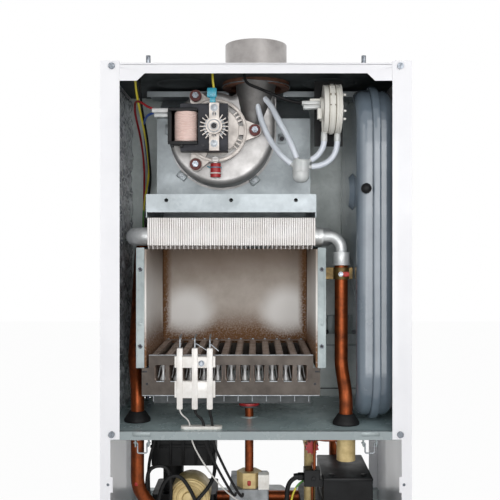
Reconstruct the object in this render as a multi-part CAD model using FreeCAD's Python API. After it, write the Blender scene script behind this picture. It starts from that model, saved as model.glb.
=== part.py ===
import FreeCAD, Part
import math
import os

V = FreeCAD.Vector

# Wall-hung boiler: X across, Y towards the wall, Z up from the casing's bottom edge.
# Every piece is moved down by hook_height at the end, so the origin is on the wall rail.

# Casing
sheet = 1.2
flange = 25.0
low_flange = 13.2
step_drop = 8.8
rear_flange = 15.0
tab_reach = 3.0
tab_height = 156.0
tab_span = 20.0
tab_hole_r = 2.0
roof_drop = 2.5
rail_drop = 13.5
corner_drop = 23.0
corner_reach = 22.0
corner_bevel = 10.0
block_headroom = 17.8
lip_drop = 11.0
back_gap = 40.0
bead_left = 20.0
bead_right = 58.0
bead_half = 6.0
bead_proud = 4.0
rear_gap = 5.8
fan_headroom = 74.3
liner_thick = 5.0
liner_margin = 8.0

# Wall rail and bottom rail
hook_drop = 36.3
hook_spacing = 250.0
hook_slot = 24.0
hook_r = 5.5
rail_inset = 35.0
wall_rail_tall = 44.0
rail_sheet = 1.5
bottom_rail_top = 66.0
bottom_plate_height = 30.0
bottom_plate_reach = 40.0
bottom_rail_lip = 14.0

# Casing screws and locating studs
screw_inset = 15.0
screw_below_top = 7.0
screw_below_shelf = 2.3
screw_head_r = 4.2
screw_head = 2.6
screw_r = 2.0
screw_long = 9.0
stud_inset = 60.0
stud_back = 14.0
stud_r = 3.0
stud_tall = 12.0

# Flue collar
flue_x = 0.0
collar_r = 44.0
collar_wall = 1.5
collar_tall = 52.0
collar_flange_r = 54.0
gasket_tall = 9.0
gasket_r = 48.0
gasket_bore = 36.0

# Fan
fan_offset = 56.0
fan_rise = 91.0
volute_front = 95.0
volute_deep = 55.0
volute_wall = 1.2
seam_reach = 3.0
volute_round = 9.0
neck_round_shares = (0.75, 0.3)
scroll_end_r = 56.0
scroll_turn = 290.0
scroll_steps = 15
neck_wide = 53.0
neck_gap = 14.0
spigot_r = 25.5
spigot_below_rim = 15.0
inlet_r = 30.0
shaft_hole_r = 9.0
nipple_r = 2.4
nipple_reach = 8.0
barb_long = 9.0
upper_barb_shares = (0.76, -0.65)
lower_barb_shares = (0.2, -0.98)
nipple_drop = 4.0
nipple_pitch = 10.0

# Motor
plate_front = 79.0
plate_thick = 5.0
plate_hub_r = 32.0
plate_rim_r = 44.0
plate_rim = 5.0
lobe_circle = 54.5
lobe_r = 9.0
lobe_count = 3
spoke_wide = 12.0
web_turn = 22.0
rib_turns = (-40.0, -31.0, -22.0, 22.0, 31.0, 40.0)
rib_wide = 2.0
post_r = 3.0
post_sleeve_r = 5.0
post_up = 28.0
post_down = 27.0
grommet_r = 8.0
grommet_neck_r = 5.6
grommet_head = 6.0
grommet_bore = 2.5
bolt_head_r = 4.6
bolt_head = 4.0
stator_front = 50.0
stator_thick = 20.0
stator_left = 46.0
stator_right = 18.0
stator_up = 32.0
stator_down = 32.0
leg_wide = 14.0
window_wide = 10.0
window_up = 24.0
window_down = 22.0
rotor_r = 14.6
rotor_gap = 0.6
shaft_r = 3.0
shaft_front = 37.0
run_gap = 0.3
bridge_front = 43.0
bridge_thick = 4.0
bridge_wide = 13.4
cup_r = 11.0
cup_front = 36.0
cup_fin_r = 19.5
cup_fin = 1.2
cup_fin_deep = 5.0
cup_fin_count = 20

# Coil on its bobbin
bobbin_flange = 2.0
bobbin_reach = 7.0
bobbin_wall = 0.6
coil_core_r = 13.8
wire_r = 1.0
wire_margin = 0.4
coil_turns = 16

# Rotating wheels
impeller_r = 48.0
impeller_inner_r = 34.0
impeller_front = 99.0
impeller_deep = 42.0
impeller_disc = 1.5
impeller_hub_r = 8.0
impeller_blade = 1.0
impeller_count = 18
wheel_front = 85.6
wheel_deep = 6.0
wheel_r = 34.0
wheel_hub_r = 8.0
wheel_disc = 1.2
wheel_blade = 1.4
wheel_count = 14

# Red cap on its nipple
cap_drop = 55.0
cap_tall = 19.0
cap_r = 7.3
cap_nipple_r = 3.5
cap_arm_r = 4.5
cap_arm_above = 5.0
cap_gap = 1.0

# Pressure switch and its bracket
switch_gap = 31.0
switch_drop = 48.3
switch_back = 60.0
switch_r = 32.5
switch_flange_r = 34.0
switch_flange = 4.0
switch_half = 11.0
switch_boss_r = 16.0
switch_boss = 4.0
port_r = 3.3
port_long = 9.0
port_left = 9.5
port_right = 8.5
terminal_long = 14.0
terminal_tall = 11.0
terminal_deep = 9.0
terminal_up = 8.0
foot_wide = 12.0
foot_tall = 18.0
bracket_back = 97.0
bracket_thick = 2.0
bracket_half = 20.0
bracket_down = 46.0
bracket_top = 18.0

# Trap cup and the four tubes
trap_inset = 19.0
trap_back = 60.0
trap_r = 11.5
trap_rise = 17.0
trap_tall = 31.0
trap_post_r = 4.0
trap_round = 10.0
stub_r = 2.6
stub_long = 3.0
tube_r = 3.4
corner_share = 0.48
end_share = 0.96
stub_shares = ((-0.4, 0.0), (-0.96, 0.22), (0.95, 0.05), (1.0, 0.3))
stub_way_shares = ((-0.35, 0.94), (-0.8, 0.6), (0.87, 0.5), (0.998, 0.07))
hose_leads = (16.0, 16.0)
hose_mids = (
    ((0.45, 8.0), (0.72, 8.0)),
    ((0.2, -16.0), (0.4, -19.0)),
)

# Flue hood
hood_inset = 12.5
hood_sheet = 1.0
hood_set = 5.0
hood_lip = 7.0
hood_flange_tall = 24.0
hood_brow = 28.0
hood_rear_drop = 6.0
hanger_left = 15.0
hanger_right = 70.0
hanger_lip = 8.0
hanger_gap = 2.0
hood_rear_gap = 9.0
hood_hole_pitch = 86.0
hood_hole_drop = 8.0
hood_hole_r = 2.6
hood_inlet_r = 26.0

# Heat exchanger
fins_side_gap = 0.5
fins_set = 15.0
fins_rear_gap = 11.0
fins_sink = 2.0
fins_tall = 42.0
fin_count = 83
fin_share = 0.42
fin_deep = 6.0
tube_pitch = 36.0
tube_rear_margin = 15.9
tube_margin = 17.0
tube_rise = 17.0
coil_tube_r = 12.4
coil_tube_wall = 1.2
tube_stub = 3.5
elbow_r = 7.6
elbow_bend = 17.0
elbow_collar_r = 11.5
elbow_collar = 8.0
socket_r = 11.3
socket_tall = 17.0
socket_drop = 38.0

# Combustion chamber
chamber_half = 125.5
chamber_sheet = 1.2
chamber_flange = 11.0
chamber_front = 30.0
chamber_deep = 203.0
ear_tall = 37.0
chamber_tall = 159.0
board_thick = 12.3
chamber_hole_r = 2.2
chamber_hole_inset = 29.0

# Burner
burner_side_gap = 2.0
burner_pitch = 18.7
burner_rise = 40.0
burner_up = 17.0
ear_inset = 7.5
window_rise = 20.0
window_tall = 21.0
window_share = 0.78
window_corner = 2.6
burner_side_rise = 4.0
burner_side_drop = 7.0
burner_rear_gap = 17.0
blade_thick = 5.0
blade_head = 9.2
blade_head_tall = 6.0
blade_foot = 7.6
blade_foot_tall = 12.0
blade_slope = 4.0
blade_bore_r = 2.4
blade_bore_deep = 34.0
blade_rise = 8.0
blade_drop = 2.0
blade_slot_pitch = 9.0
blade_slot = 5.0
blade_slot_deep = 2.4
blade_slot_margin = 6.0
blade_rail = 1.3
manifold_front = 82.0
manifold_deep = 20.0
manifold_drop = 20.0
manifold_tall = 15.0
injector_r = 2.4
gas_offset = 23.5
gas_union_r = 13.5
gas_union = 6.0

# Electrode block
electrode_in = 78.2
rod_pitch = 19.7
rod_r = 4.0
rod_drop = 16.0
rod_up = 10.0
rod_back = 25.0
bar_upper_drop = 25.5
bar_upper_tall = 14.5
bar_lower_rise = 15.0
bar_lower_tall = 22.0
bar_over = 3.0
pin_r = 1.2
pin_up = 14.0
pin_lean = 22.0
pin_bend = 6.0
grommet_half = 27.0
grommet_deep = 12.0
grommet_tall = 4.0
grommet_back = 17.0
grommet_offset = 9.3
lead_r = 1.8
lead_thin_r = 1.3
lead_hole_shares = (-0.69, 0.17, 0.67)
lead_goal_shares = (0.5, 0.16, 0.34)
lead_goal_drop = (15.0, 5.0, 6.0)
lead_drop = 6.2
lead_gap = 0.5
lead_hang = 22.0
lead_mid_shares = (0.34, 0.68)
lead_sag = (14.0, 3.0, 4.0)

# Risers
riser_r = 9.0
riser_bend = 45.0
return_bend = 24.0
riser_in_gap = 14.5
riser_vessel_gap = 8.0
right_shift = 4.5
right_low_back = 45.0
right_bend_rise = 76.0
right_end_drop = 9.8
riser_liner_gap = 7.8
riser_chamber_gap = 9.5
left_foot_shift = 15.5
left_back = 63.0
left_lean_shift = 7.0
left_lean_back = 92.0
left_lean_rise = 82.0
left_bend_drop = 50.0
left_bend_ahead = 20.0
left_turn_drop = 90.0
left_end_in = 15.0
left_mid_ahead = 40.0
left_end_drop = 18.0
boot_r = 18.0
boot_top_r = 10.6
boot_tall = 14.0
boot_foot = 3.0
boot_clear = 26.0
hole_gap = 3.0
clip_drop = 20.0
clip_tall = 16.0
clip_thick = 1.5
clip_gap = 1.0
clip_vessel_gap = 1.5

# Expansion vessel
vessel_gap = 14.8
vessel_rim = 11.0
vessel_shell = 20.0
vessel_front = 17.0
vessel_rear_gap = 17.8
vessel_headroom = 14.3
vessel_corner = 66.0
vessel_step = 5.0
vessel_round = 13.0
vessel_wall = 1.5
valve_drop = 145.0
valve_r = 6.2
valve_long = 12.0
valve_seat_r = 4.0
dish_r = 26.0
dish_tall = 6.0
dish_back = 62.0

# Wire bail clips
bail_inset = 53.0
bail_half = 6.0
bail_back = 8.0
bail_below = 14.8
bail_drop = 13.5
bail_wire_r = 1.0
bail_bend = 2.2
bail_pin = 5.0
ear_gap = 0.6
ear_thick = 1.5
ear_deep = 9.0
slot_half = 11.5
slot_tall = 5.0

# Gas line
gas_pipe_r = 6.0
gas_back = 92.0
valve_tall = 87.0
nut_tall = 21.0
nut_across = 30.0
valve_half = 27.0
valve_round = 2.5
valve_boss_r = 11.0
valve_boss_in = 17.0
valve_boss_rise = 38.0
valve_boss_out = 7.0
valve_screw_in = 6.0
valve_screw_drop = 26.0
valve_screw_r = 3.0
valve_screw_out = 2.2
valve_front = 72.0
valve_deep = 92.0
plug_wide = 14.0
plug_tall = 20.0
plug_deep = 12.0

# Connection tails
tail_pitch = 65.0
tail_back = 150.0
tail_large_r = 13.2
tail_small_r = 10.45
tail_reach = 24.0
tail_top = 40.0
tail_collar = 5.0
tail_collar_tall = 5.0
tail_bore_share = 0.7

# Pump and hydraulics
pump_left = 92.0
pump_wide = 67.0
pump_front = 60.0
pump_deep = 119.0
base_tall = 58.0
pump_tall = 48.0
pump_round = 4.0
base_left = 64.0
base_wide = 101.0
base_front = 84.0
base_deep = 118.0
base_round = 12.0
din_wide = 26.0
din_tall = 23.0
din_over = 9.0
din_front = 68.0
din_deep = 22.0
block_left = -150.0
block_wide = 92.0
block_low_tall = 64.0
block_low_front = 124.0
block_low_deep = 78.0
block_round = 5.0
block_up_tall = 57.0
block_leg_tall = 44.0
block_front = 115.0
block_deep = 61.0
block_leg_r = 15.0
block_leg_in = 29.0
brass_in = 58.0
brass_rise = 8.0
brass_r = 28.0
brass_front = 80.0
plates_half = 48.0
plates_gap = 22.0
plates_deep = 46.0
plates_tall = 56.0
plates_corner = 12.0
plate_pitch = 3.2
plate_edge = 1.8
plate_groove = 1.4
cross_in = 52.0
cross_drop = 12.0
cross_step = 24.0
cross_r = 7.5
elbow_body_r = 12.5
elbow_under = 12.0
return_drop = 34.8
capillary_r = 2.0
capillary_bend = 9.0
capillary_rise = 26.0
capillary_out = 16.0
capillary_x = 79.0
capillary_front = 53.0
capillary_over = 4.0
capillary_behind = 4.0
return_back = 191.0

# Safety valve
safety_x = 76.0
safety_drop = 34.8
safety_front = 76.0
safety_long = 42.0
safety_body_r = 10.0
safety_stem_back = 106.0
safety_stem_r = 8.0
knob_r = 9.5
knob_front = 60.0
knob_gap = 0.3
knob_flat_count = 10
knob_cut_r = 2.2
knob_stem_r = 3.0

# Leads
loom_r = 1.6
loom_inset = 24.8
loom_rear_gap = 9.8
loom_pitch = 4.4
loom_hole_r = 9.0
loom_tail = 10.0
lead_spread = 4.0
fan_lead_shares = ((0.36, 0.73, 0.99, 1.02, 1.01), (0.42, 0.77, 0.96, 1.04, 1.04))
fan_lead_turns = (
    ((0.0, 0.0), (14.0, 14.0), (60.0, 12.0), (110.0, -20.0), (145.0, -52.0)),
    ((0.0, 0.0), (16.0, -6.0), (62.0, -14.0), (108.0, -34.0), (145.0, -62.0)),
)
fan_lead_fall = 95.0
roof_lead_in = (36.0, 41.0)
roof_lead_back = (58.0, 66.0)
roof_lead_turns = (
    ((0.0, 0.0, -16.0), (2.0, 26.0, -44.0), (4.0, 62.0, -70.0), (3.0, 104.0, -98.0), (0.0, 140.0, -128.0)),
    ((0.0, 0.0, -16.0), (0.0, 22.0, -46.0), (2.0, 60.0, -76.0), (0.0, 98.0, -106.0), (-2.0, 132.0, -136.0)),
)
roof_lead_fall = 168.0
roof_lead_ahead = 5.0
loom_sway = ((0.0, 0.0), (1.2, -0.8), (-1.0, 0.6), (0.8, 1.0), (-1.2, -0.6), (1.0, 0.8), (0.0, 0.0))
switch_lead_turns = ((-19.0, 0.0, 0.0), (-45.0, 0.0, 10.0), (-69.0, 0.0, 20.5), (-89.0, 0.0, 28.0))
earth_lead_turns = ((0.0, 0.0, 18.0), (-2.0, -3.0, 30.0))
cable_r = 3.2
cable_out = 23.0
cable_end_drop = 32.0

# Heights, stacked from the bottom edge up
block_low_top = tail_top + block_low_tall
block_leg_top = block_low_top + block_leg_tall
block_top = block_leg_top + block_up_tall
shelf_under = block_top + block_headroom
shelf_height = shelf_under + sheet
pump_low = tail_top + base_tall
pump_top = pump_low + pump_tall
nut_low = tail_top + valve_tall
burner_low = shelf_height + burner_rise
chamber_low = burner_low + ear_tall
burner_top = chamber_low + burner_up
chamber_top = chamber_low + chamber_tall
fins_low = chamber_top - fins_sink
hood_low = fins_low + fins_tall
hood_flange_low = hood_low + hood_lip
hood_ledge = hood_flange_low + hood_flange_tall
tube_height = fins_low + tube_rise
socket_low = tube_height - socket_drop
fan_z = hood_ledge + fan_rise
roof_under = fan_z + fan_headroom
roof = roof_under + sheet
height = roof + roof_drop
hook_height = roof_under - hook_drop
switch_z = roof_under - switch_drop

# Setbacks, from the front flange to the wall
chamber_back = chamber_front + chamber_deep
depth = chamber_back + rear_gap + sheet + back_gap
fins_front = chamber_front + fins_set
fins_back = chamber_back - fins_rear_gap

# Places across, from the left side panel to the right one
riser_bay = riser_in_gap + 2 * riser_r + riser_vessel_gap
left_bay = sheet + liner_thick + riser_liner_gap + 2 * riser_r + riser_chamber_gap
vessel_thick = 2 * vessel_shell + vessel_rim
width = left_bay + 2 * chamber_half + riser_bay + vessel_thick + vessel_gap + sheet
hood_x = left_bay + chamber_half - width / 2
chamber_left = hood_x - chamber_half
chamber_right = hood_x + chamber_half
hood_half = chamber_half - hood_inset
fins_half = hood_half - fins_side_gap
inner = width / 2 - sheet
vessel_face = chamber_right + riser_bay
vessel_x = vessel_face + vessel_thick / 2
right_x = chamber_right + riser_in_gap + riser_r
right_low_x = right_x + right_shift
left_top_x = chamber_left - riser_chamber_gap - riser_r
left_x = left_top_x + left_foot_shift
fan_x = flue_x - fan_offset
switch_x = vessel_face - switch_gap
trap_x = hood_x + hood_half - trap_inset
gas_x = hood_x + gas_offset
electrode_x = chamber_left + electrode_in
grommet_x = electrode_x + grommet_offset
loom_x = loom_inset - inner
screw_x = width / 2 - screw_inset
stud_x = width / 2 - stud_inset
bail_x = width / 2 - bail_inset
block_right = block_left + block_wide
pump_right = pump_left + pump_wide
base_right = base_left + base_wide

front = -depth
plate_rear = -back_gap
plate_face = plate_rear - sheet
flue_y = front + volute_front + volute_deep / 2
screw_top = height - screw_below_top
screw_low = shelf_under - screw_below_shelf
step_height = shelf_under - step_drop
bail_pivot = shelf_under - bail_below
wall_rail_half = width / 2 - rail_inset
radii = []


def behind(setback):
    return front + setback


def box(x0, x1, y0, y1, z0, z1):
    return Part.makeBox(x1 - x0, y1 - y0, z1 - z0, V(x0, y0, z0))


def rod(start, end, r):
    return Part.makeCylinder(r, (end - start).Length, start, end - start)


def along_x(x0, x1, y, z, r):
    return rod(V(x0, y, z), V(x1, y, z), r)


def along_y(x, y0, y1, z, r):
    return rod(V(x, y0, z), V(x, y1, z), r)


def along_z(x, y, z0, z1, r):
    return rod(V(x, y, z0), V(x, y, z1), r)


def slab(points, reach):
    return Part.Face(Part.makePolygon(points + points[:1])).extrude(reach)


def join(shapes):
    return shapes[0].fuse(shapes[1:]).removeSplitter()


def prism(x, y, z0, z1, r, sides):
    ring = []
    for i in range(sides):
        turn = 2 * math.pi * i / sides
        ring.append(V(x + r * math.cos(turn), y + r * math.sin(turn), z0))
    return slab(ring, V(0, 0, z1 - z0))


def rounded(y0, y1, z0, z1, corner, x):
    # A round-cornered outline in the plane across X.
    bend = corner * (1 - math.sqrt(0.5))
    edges = [
        Part.makeLine(V(x, y0 + corner, z0), V(x, y1 - corner, z0)),
        Part.Arc(V(x, y1 - corner, z0), V(x, y1 - bend, z0 + bend), V(x, y1, z0 + corner)).toShape(),
        Part.makeLine(V(x, y1, z0 + corner), V(x, y1, z1 - corner)),
        Part.Arc(V(x, y1, z1 - corner), V(x, y1 - bend, z1 - bend), V(x, y1 - corner, z1)).toShape(),
        Part.makeLine(V(x, y1 - corner, z1), V(x, y0 + corner, z1)),
        Part.Arc(V(x, y0 + corner, z1), V(x, y0 + bend, z1 - bend), V(x, y0, z1 - corner)).toShape(),
        Part.makeLine(V(x, y0, z1 - corner), V(x, y0, z0 + corner)),
        Part.Arc(V(x, y0, z0 + corner), V(x, y0 + bend, z0 + bend), V(x, y0 + corner, z0)).toShape(),
    ]
    return Part.Face(Part.Wire(edges))


def spine(points, most):
    # Straight runs joined by tangent arcs, each as large as its two runs allow, or of the radius given.
    edges = []
    start = points[0]
    for i in range(1, len(points) - 1):
        into = points[i] - points[i - 1]
        out = points[i + 1] - points[i]
        into_share = end_share if i == 1 else corner_share
        out_share = end_share if i == len(points) - 2 else corner_share
        reach = min(into_share * into.Length, out_share * out.Length)
        half = into.getAngle(out) / 2
        if most:
            reach = min(reach, most * math.tan(half))
        a = V(into).normalize()
        b = V(out).normalize()
        first = points[i] - a * reach
        last = points[i] + b * reach
        radius = reach / math.tan(half)
        radii.append(radius)
        inward = V(b - a).normalize()
        middle = points[i] + inward * (radius / math.cos(half) - radius)
        edges.append(Part.makeLine(start, first))
        edges.append(Part.Arc(first, middle, last).toShape())
        start = last
    edges.append(Part.makeLine(start, points[-1]))
    return Part.Wire(edges)


def route(points, r, most=0):
    way = V(points[1] - points[0])
    ring = Part.Wire(Part.makeCircle(r, points[0], way))
    return spine(points, most).makePipeShell([ring], True, False)


def tell(name, r):
    # The tightest bend among the cords laid since the last call.
    print(name, "radius", r, "least bend", round(min(radii), 1))
    radii.clear()


def upright(shape):
    # The edges of a box that stand along Z.
    return [e for e in shape.Edges if e.BoundBox.ZLength > e.BoundBox.XLength + e.BoundBox.YLength]


def mirrored(shape):
    return shape.mirror(V(0, 0, 0), V(1, 0, 0))


def spun(shape, turn):
    copy = shape.copy()
    copy.rotate(V(fan_x, 0, fan_z), V(0, 1, 0), turn)
    return copy


nodes = {}

# Side panel: a channel open to the inside, with a narrower front flange below the shelf.
panel = join([
    box(inner, width / 2, front, 0, 0, height),
    box(width / 2 - low_flange, width / 2, front, front + sheet, 0, height),
    box(width / 2 - flange, width / 2, front, front + sheet, step_height, height),
    box(width / 2 - low_flange - tab_reach, width / 2, front, front + sheet,
        tab_height - tab_span / 2, tab_height + tab_span / 2),
    box(width / 2 - rear_flange, width / 2, -sheet, 0, 0, height),
])
panel = panel.cut(along_y(width / 2 - low_flange + tab_reach, front, front + sheet, tab_height, tab_hole_r))
for z in (screw_top, screw_low):
    panel = panel.cut(along_y(screw_x, front, front + sheet, z, screw_r))
nodes["side_panel_right"] = panel
nodes["side_panel_left"] = mirrored(panel)

# Roof with the front rail turned down, deeper at both corners.
rail_in = width / 2 - flange - corner_reach
rail = [
    V(-inner, front + sheet, roof), V(inner, front + sheet, roof),
    V(inner, front + sheet, roof - corner_drop), V(rail_in, front + sheet, roof - corner_drop),
    V(rail_in - corner_bevel, front + sheet, roof - rail_drop),
    V(corner_bevel - rail_in, front + sheet, roof - rail_drop),
    V(-rail_in, front + sheet, roof - corner_drop), V(-inner, front + sheet, roof - corner_drop),
]
top_panel = join([
    slab(rail, V(0, sheet, 0)),
    box(-inner, inner, front + sheet, -sheet, roof_under, roof),
])
top_panel = top_panel.cut(along_z(flue_x, flue_y, roof_under, roof, collar_r - collar_wall))
for side in (-1, 1):
    top_panel = top_panel.cut(along_y(side * screw_x, front + sheet, front + 2 * sheet, screw_top, screw_r))
    top_panel = top_panel.cut(along_z(side * stud_x, behind(stud_back), roof_under, roof, stud_r))
nodes["top_panel"] = top_panel

# Back plate of the sealed chamber, with two upright beads.
back_plate = box(-inner, inner, plate_face, plate_rear, shelf_height, roof_under)
for x in (bead_left - width / 2, width / 2 - bead_right):
    back_plate = back_plate.fuse(box(x - bead_half, x + bead_half, plate_face - bead_proud, plate_face,
                                     shelf_height, roof_under))
nodes["back_plate"] = back_plate.removeSplitter()

# Shelf: floor of the sealed chamber, with a front lip, pipe holes and the bails' ears.
right_low_y = behind(right_low_back)
left_y = behind(left_back)
gas_y = behind(gas_back)
loom_y = plate_face - loom_rear_gap
grommet_y = behind(grommet_back)
bail_y = behind(bail_back)
shelf_parts = [
    box(-inner, inner, front + sheet, plate_rear, shelf_under, shelf_height),
    box(-inner, inner, front + sheet, front + 2 * sheet, shelf_height - lip_drop, shelf_height),
]
for side in (-1, 1):
    for end in (-1, 1):
        near = side * bail_x + end * (bail_half + bail_wire_r + ear_gap)
        far = near + end * ear_thick
        ear = box(min(near, far), max(near, far), bail_y - ear_deep / 2, bail_y + ear_deep / 2,
                  bail_pivot - ear_deep / 2, shelf_under)
        shelf_parts.append(ear.cut(along_x(min(near, far), max(near, far), bail_y, bail_pivot,
                                           bail_wire_r + run_gap)))
shelf = join(shelf_parts)
for x, y, r in ((right_low_x, right_low_y, riser_r + hole_gap), (left_x, left_y, riser_r + hole_gap),
                (gas_x, gas_y, gas_pipe_r + hole_gap), (loom_x, loom_y, loom_hole_r)):
    shelf = shelf.cut(along_z(x, y, shelf_under, shelf_height, r))
for side in (-1, 1):
    shelf = shelf.cut(box(side * bail_x - slot_half, side * bail_x + slot_half, front + sheet, front + 2 * sheet,
                          shelf_under - slot_tall, shelf_under))
    shelf = shelf.cut(along_y(side * screw_x, front + sheet, front + 2 * sheet, screw_low, screw_r))
lead_slot = grommet_half - grommet_deep / 2
shelf = shelf.cut(box(grommet_x - lead_slot, grommet_x + lead_slot, grommet_y - grommet_deep / 4,
                      grommet_y + grommet_deep / 4, shelf_under, shelf_height))
nodes["chamber_shelf"] = shelf

nodes["foil_liner"] = box(-inner, liner_thick - inner, front + 2 * sheet + liner_margin, plate_face,
                          shelf_height, roof_under - liner_margin)

# Wall rail: a hat channel on the back plate, with two hook slots.
low = hook_height - wall_rail_tall / 2
top = hook_height + wall_rail_tall / 2
wall_rail = join([
    box(-wall_rail_half, wall_rail_half, -rail_sheet, 0, low, top),
    box(-wall_rail_half, wall_rail_half, plate_rear, 0, low, low + rail_sheet),
    box(-wall_rail_half, wall_rail_half, plate_rear, 0, top - rail_sheet, top),
])
slot_flat = hook_slot / 2 - hook_r
for side in (-1, 1):
    x = side * hook_spacing / 2
    wall_rail = wall_rail.cut(join([
        box(x - slot_flat, x + slot_flat, -rail_sheet, 0, hook_height - hook_r, hook_height + hook_r),
        along_y(x - slot_flat, -rail_sheet, 0, hook_height, hook_r),
        along_y(x + slot_flat, -rail_sheet, 0, hook_height, hook_r),
    ]))
nodes["wall_rail"] = wall_rail

# Bottom rail: upright web at the wall and a plate that holds the tails.
rail_face = -sheet - rail_sheet
tail_y = behind(tail_back)
plate_low = bottom_plate_height - rail_sheet
bottom_rail = join([
    box(-inner, inner, rail_face, -sheet, plate_low, bottom_rail_top),
    box(-inner, inner, tail_y - bottom_plate_reach, -sheet, plate_low, bottom_plate_height),
    box(-inner, inner, rail_face - bottom_rail_lip, -sheet, bottom_rail_top - rail_sheet, bottom_rail_top),
])
tails = []
for i in range(5):
    x = (i - 2) * tail_pitch
    r = tail_large_r if i in (0, 2, 4) else tail_small_r
    bottom_rail = bottom_rail.cut(along_z(x, tail_y, plate_low, bottom_plate_height, r))
    tail = along_z(x, tail_y, -tail_reach, tail_top, r)
    tail = join([tail, along_z(x, tail_y, plate_low - tail_collar_tall, plate_low, r + tail_collar)])
    tails.append(tail.cut(along_z(x, tail_y, -tail_reach, tail_top - tail_collar_tall, r * tail_bore_share)))
nodes["bottom_rail"] = bottom_rail
nodes["connection_tails"] = Part.makeCompound(tails)

# Screws through the flange, studs on the roof.
screws = []
for side in (-1, 1):
    for z in (screw_top, screw_low):
        screws.append(join([
            along_y(side * screw_x, front - screw_head, front, z, screw_head_r),
            along_y(side * screw_x, front, front + screw_long, z, screw_r),
        ]))
    screws.append(along_z(side * stud_x, behind(stud_back), roof_under, roof + stud_tall, stud_r))

# Flue collar on the roof and the gasket under it.
collar_rim = roof + collar_tall
collar = join([
    along_z(flue_x, flue_y, roof, collar_rim, collar_r),
    along_z(flue_x, flue_y, roof, roof + sheet, collar_flange_r),
])
nodes["flue_collar"] = collar.cut(along_z(flue_x, flue_y, roof, collar_rim, collar_r - collar_wall))
gasket_low = roof_under - gasket_tall
nodes["collar_gasket"] = along_z(flue_x, flue_y, gasket_low, roof_under, gasket_r).cut(
    along_z(flue_x, flue_y, gasket_low, roof_under, gasket_bore))

# Fan scroll: the radius falls evenly round the turn, from the neck's outer wall to the tongue.
scroll_start_r = flue_x - fan_x + neck_wide / 2
neck_top = roof_under - neck_gap


def scroll(inset, y0, y1, z_top):
    points = []
    for i in range(scroll_steps + 1):
        turn = math.radians(scroll_turn * i / scroll_steps)
        r = scroll_start_r - (scroll_start_r - scroll_end_r) * i / scroll_steps - inset
        points.append(V(fan_x + r * math.cos(turn), y0, fan_z - r * math.sin(turn)))
    curve = Part.BSplineCurve()
    curve.interpolate(points)
    left = V(flue_x - neck_wide / 2 + inset, y0, z_top)
    right = V(flue_x + neck_wide / 2 - inset, y0, z_top)
    throat = left - points[-1]
    middle = points[-1] + V(neck_round_shares[0] * throat.x, 0, neck_round_shares[1] * throat.z)
    edges = [
        curve.toShape(), Part.Arc(points[-1], middle, left).toShape(),
        Part.makeLine(left, right), Part.makeLine(right, points[0]),
    ]
    return Part.Face(Part.Wire(edges)).extrude(V(0, y1 - y0, 0))


def softened(body, y0, z_top, soft):
    # The drawn front edge, rounded all along the scroll up to the neck's mouth.
    close = soft / 100
    rim = [e for e in body.Edges if abs(e.BoundBox.YMax - y0) < close and e.BoundBox.ZMin < z_top - close]
    return body.makeFillet(soft, rim)


volute_y = behind(volute_front)
volute_end = volute_y + volute_deep
spigot_top = collar_rim - spigot_below_rim
volute = join([
    softened(scroll(0, volute_y, volute_end, neck_top), volute_y, neck_top, volute_round),
    scroll(-seam_reach, volute_end - 2 * volute_wall, volute_end, neck_top),
    along_z(flue_x, flue_y, neck_top, spigot_top, spigot_r),
])
cavity = scroll(volute_wall, volute_y + volute_wall, volute_end - volute_wall, neck_top - volute_wall)
volute = volute.cut(softened(cavity, volute_y + volute_wall, neck_top - volute_wall, volute_round - volute_wall))
volute = volute.cut(along_z(flue_x, flue_y, neck_top - volute_wall, spigot_top, spigot_r - volute_wall))
volute = volute.cut(along_y(fan_x, volute_y, volute_y + volute_wall, fan_z, shaft_hole_r))
volute = volute.cut(along_y(fan_x, volute_end - volute_wall, volute_end, fan_z, inlet_r))
nipple_upper = neck_top - nipple_drop
nipple_lower = nipple_upper - nipple_pitch
cap_top = fan_z - cap_drop + cap_tall / 2
cap_low = cap_top - cap_tall
cap_y = volute_y - cap_r - cap_arm_r
arm_z = cap_top + cap_arm_above
nipple_y = volute_y - nipple_reach
upper_way = V(upper_barb_shares[0], 0, upper_barb_shares[1]).normalize()
lower_way = V(lower_barb_shares[0], 0, lower_barb_shares[1]).normalize()
upper_barb = V(flue_x, nipple_y, nipple_upper)
lower_barb = V(flue_x, nipple_y, nipple_lower)
volute = join([
    volute,
    along_y(flue_x, nipple_y - nipple_r, volute_y, nipple_upper, nipple_r),
    along_y(flue_x, nipple_y - nipple_r, volute_y, nipple_lower, nipple_r),
    rod(upper_barb, upper_barb + upper_way * barb_long, nipple_r),
    rod(lower_barb, lower_barb + lower_way * barb_long, nipple_r),
    along_y(fan_x, cap_y - cap_arm_r, volute_y, arm_z, cap_arm_r),
    along_z(fan_x, cap_y, cap_low + cap_nipple_r, arm_z, cap_nipple_r),
])
nodes["fan_volute"] = volute
cap = along_z(fan_x, cap_y, cap_low, cap_top, cap_r)
nodes["drain_cap"] = cap.cut(along_z(fan_x, cap_y, cap_low + cap_nipple_r, cap_top, cap_nipple_r))

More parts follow.
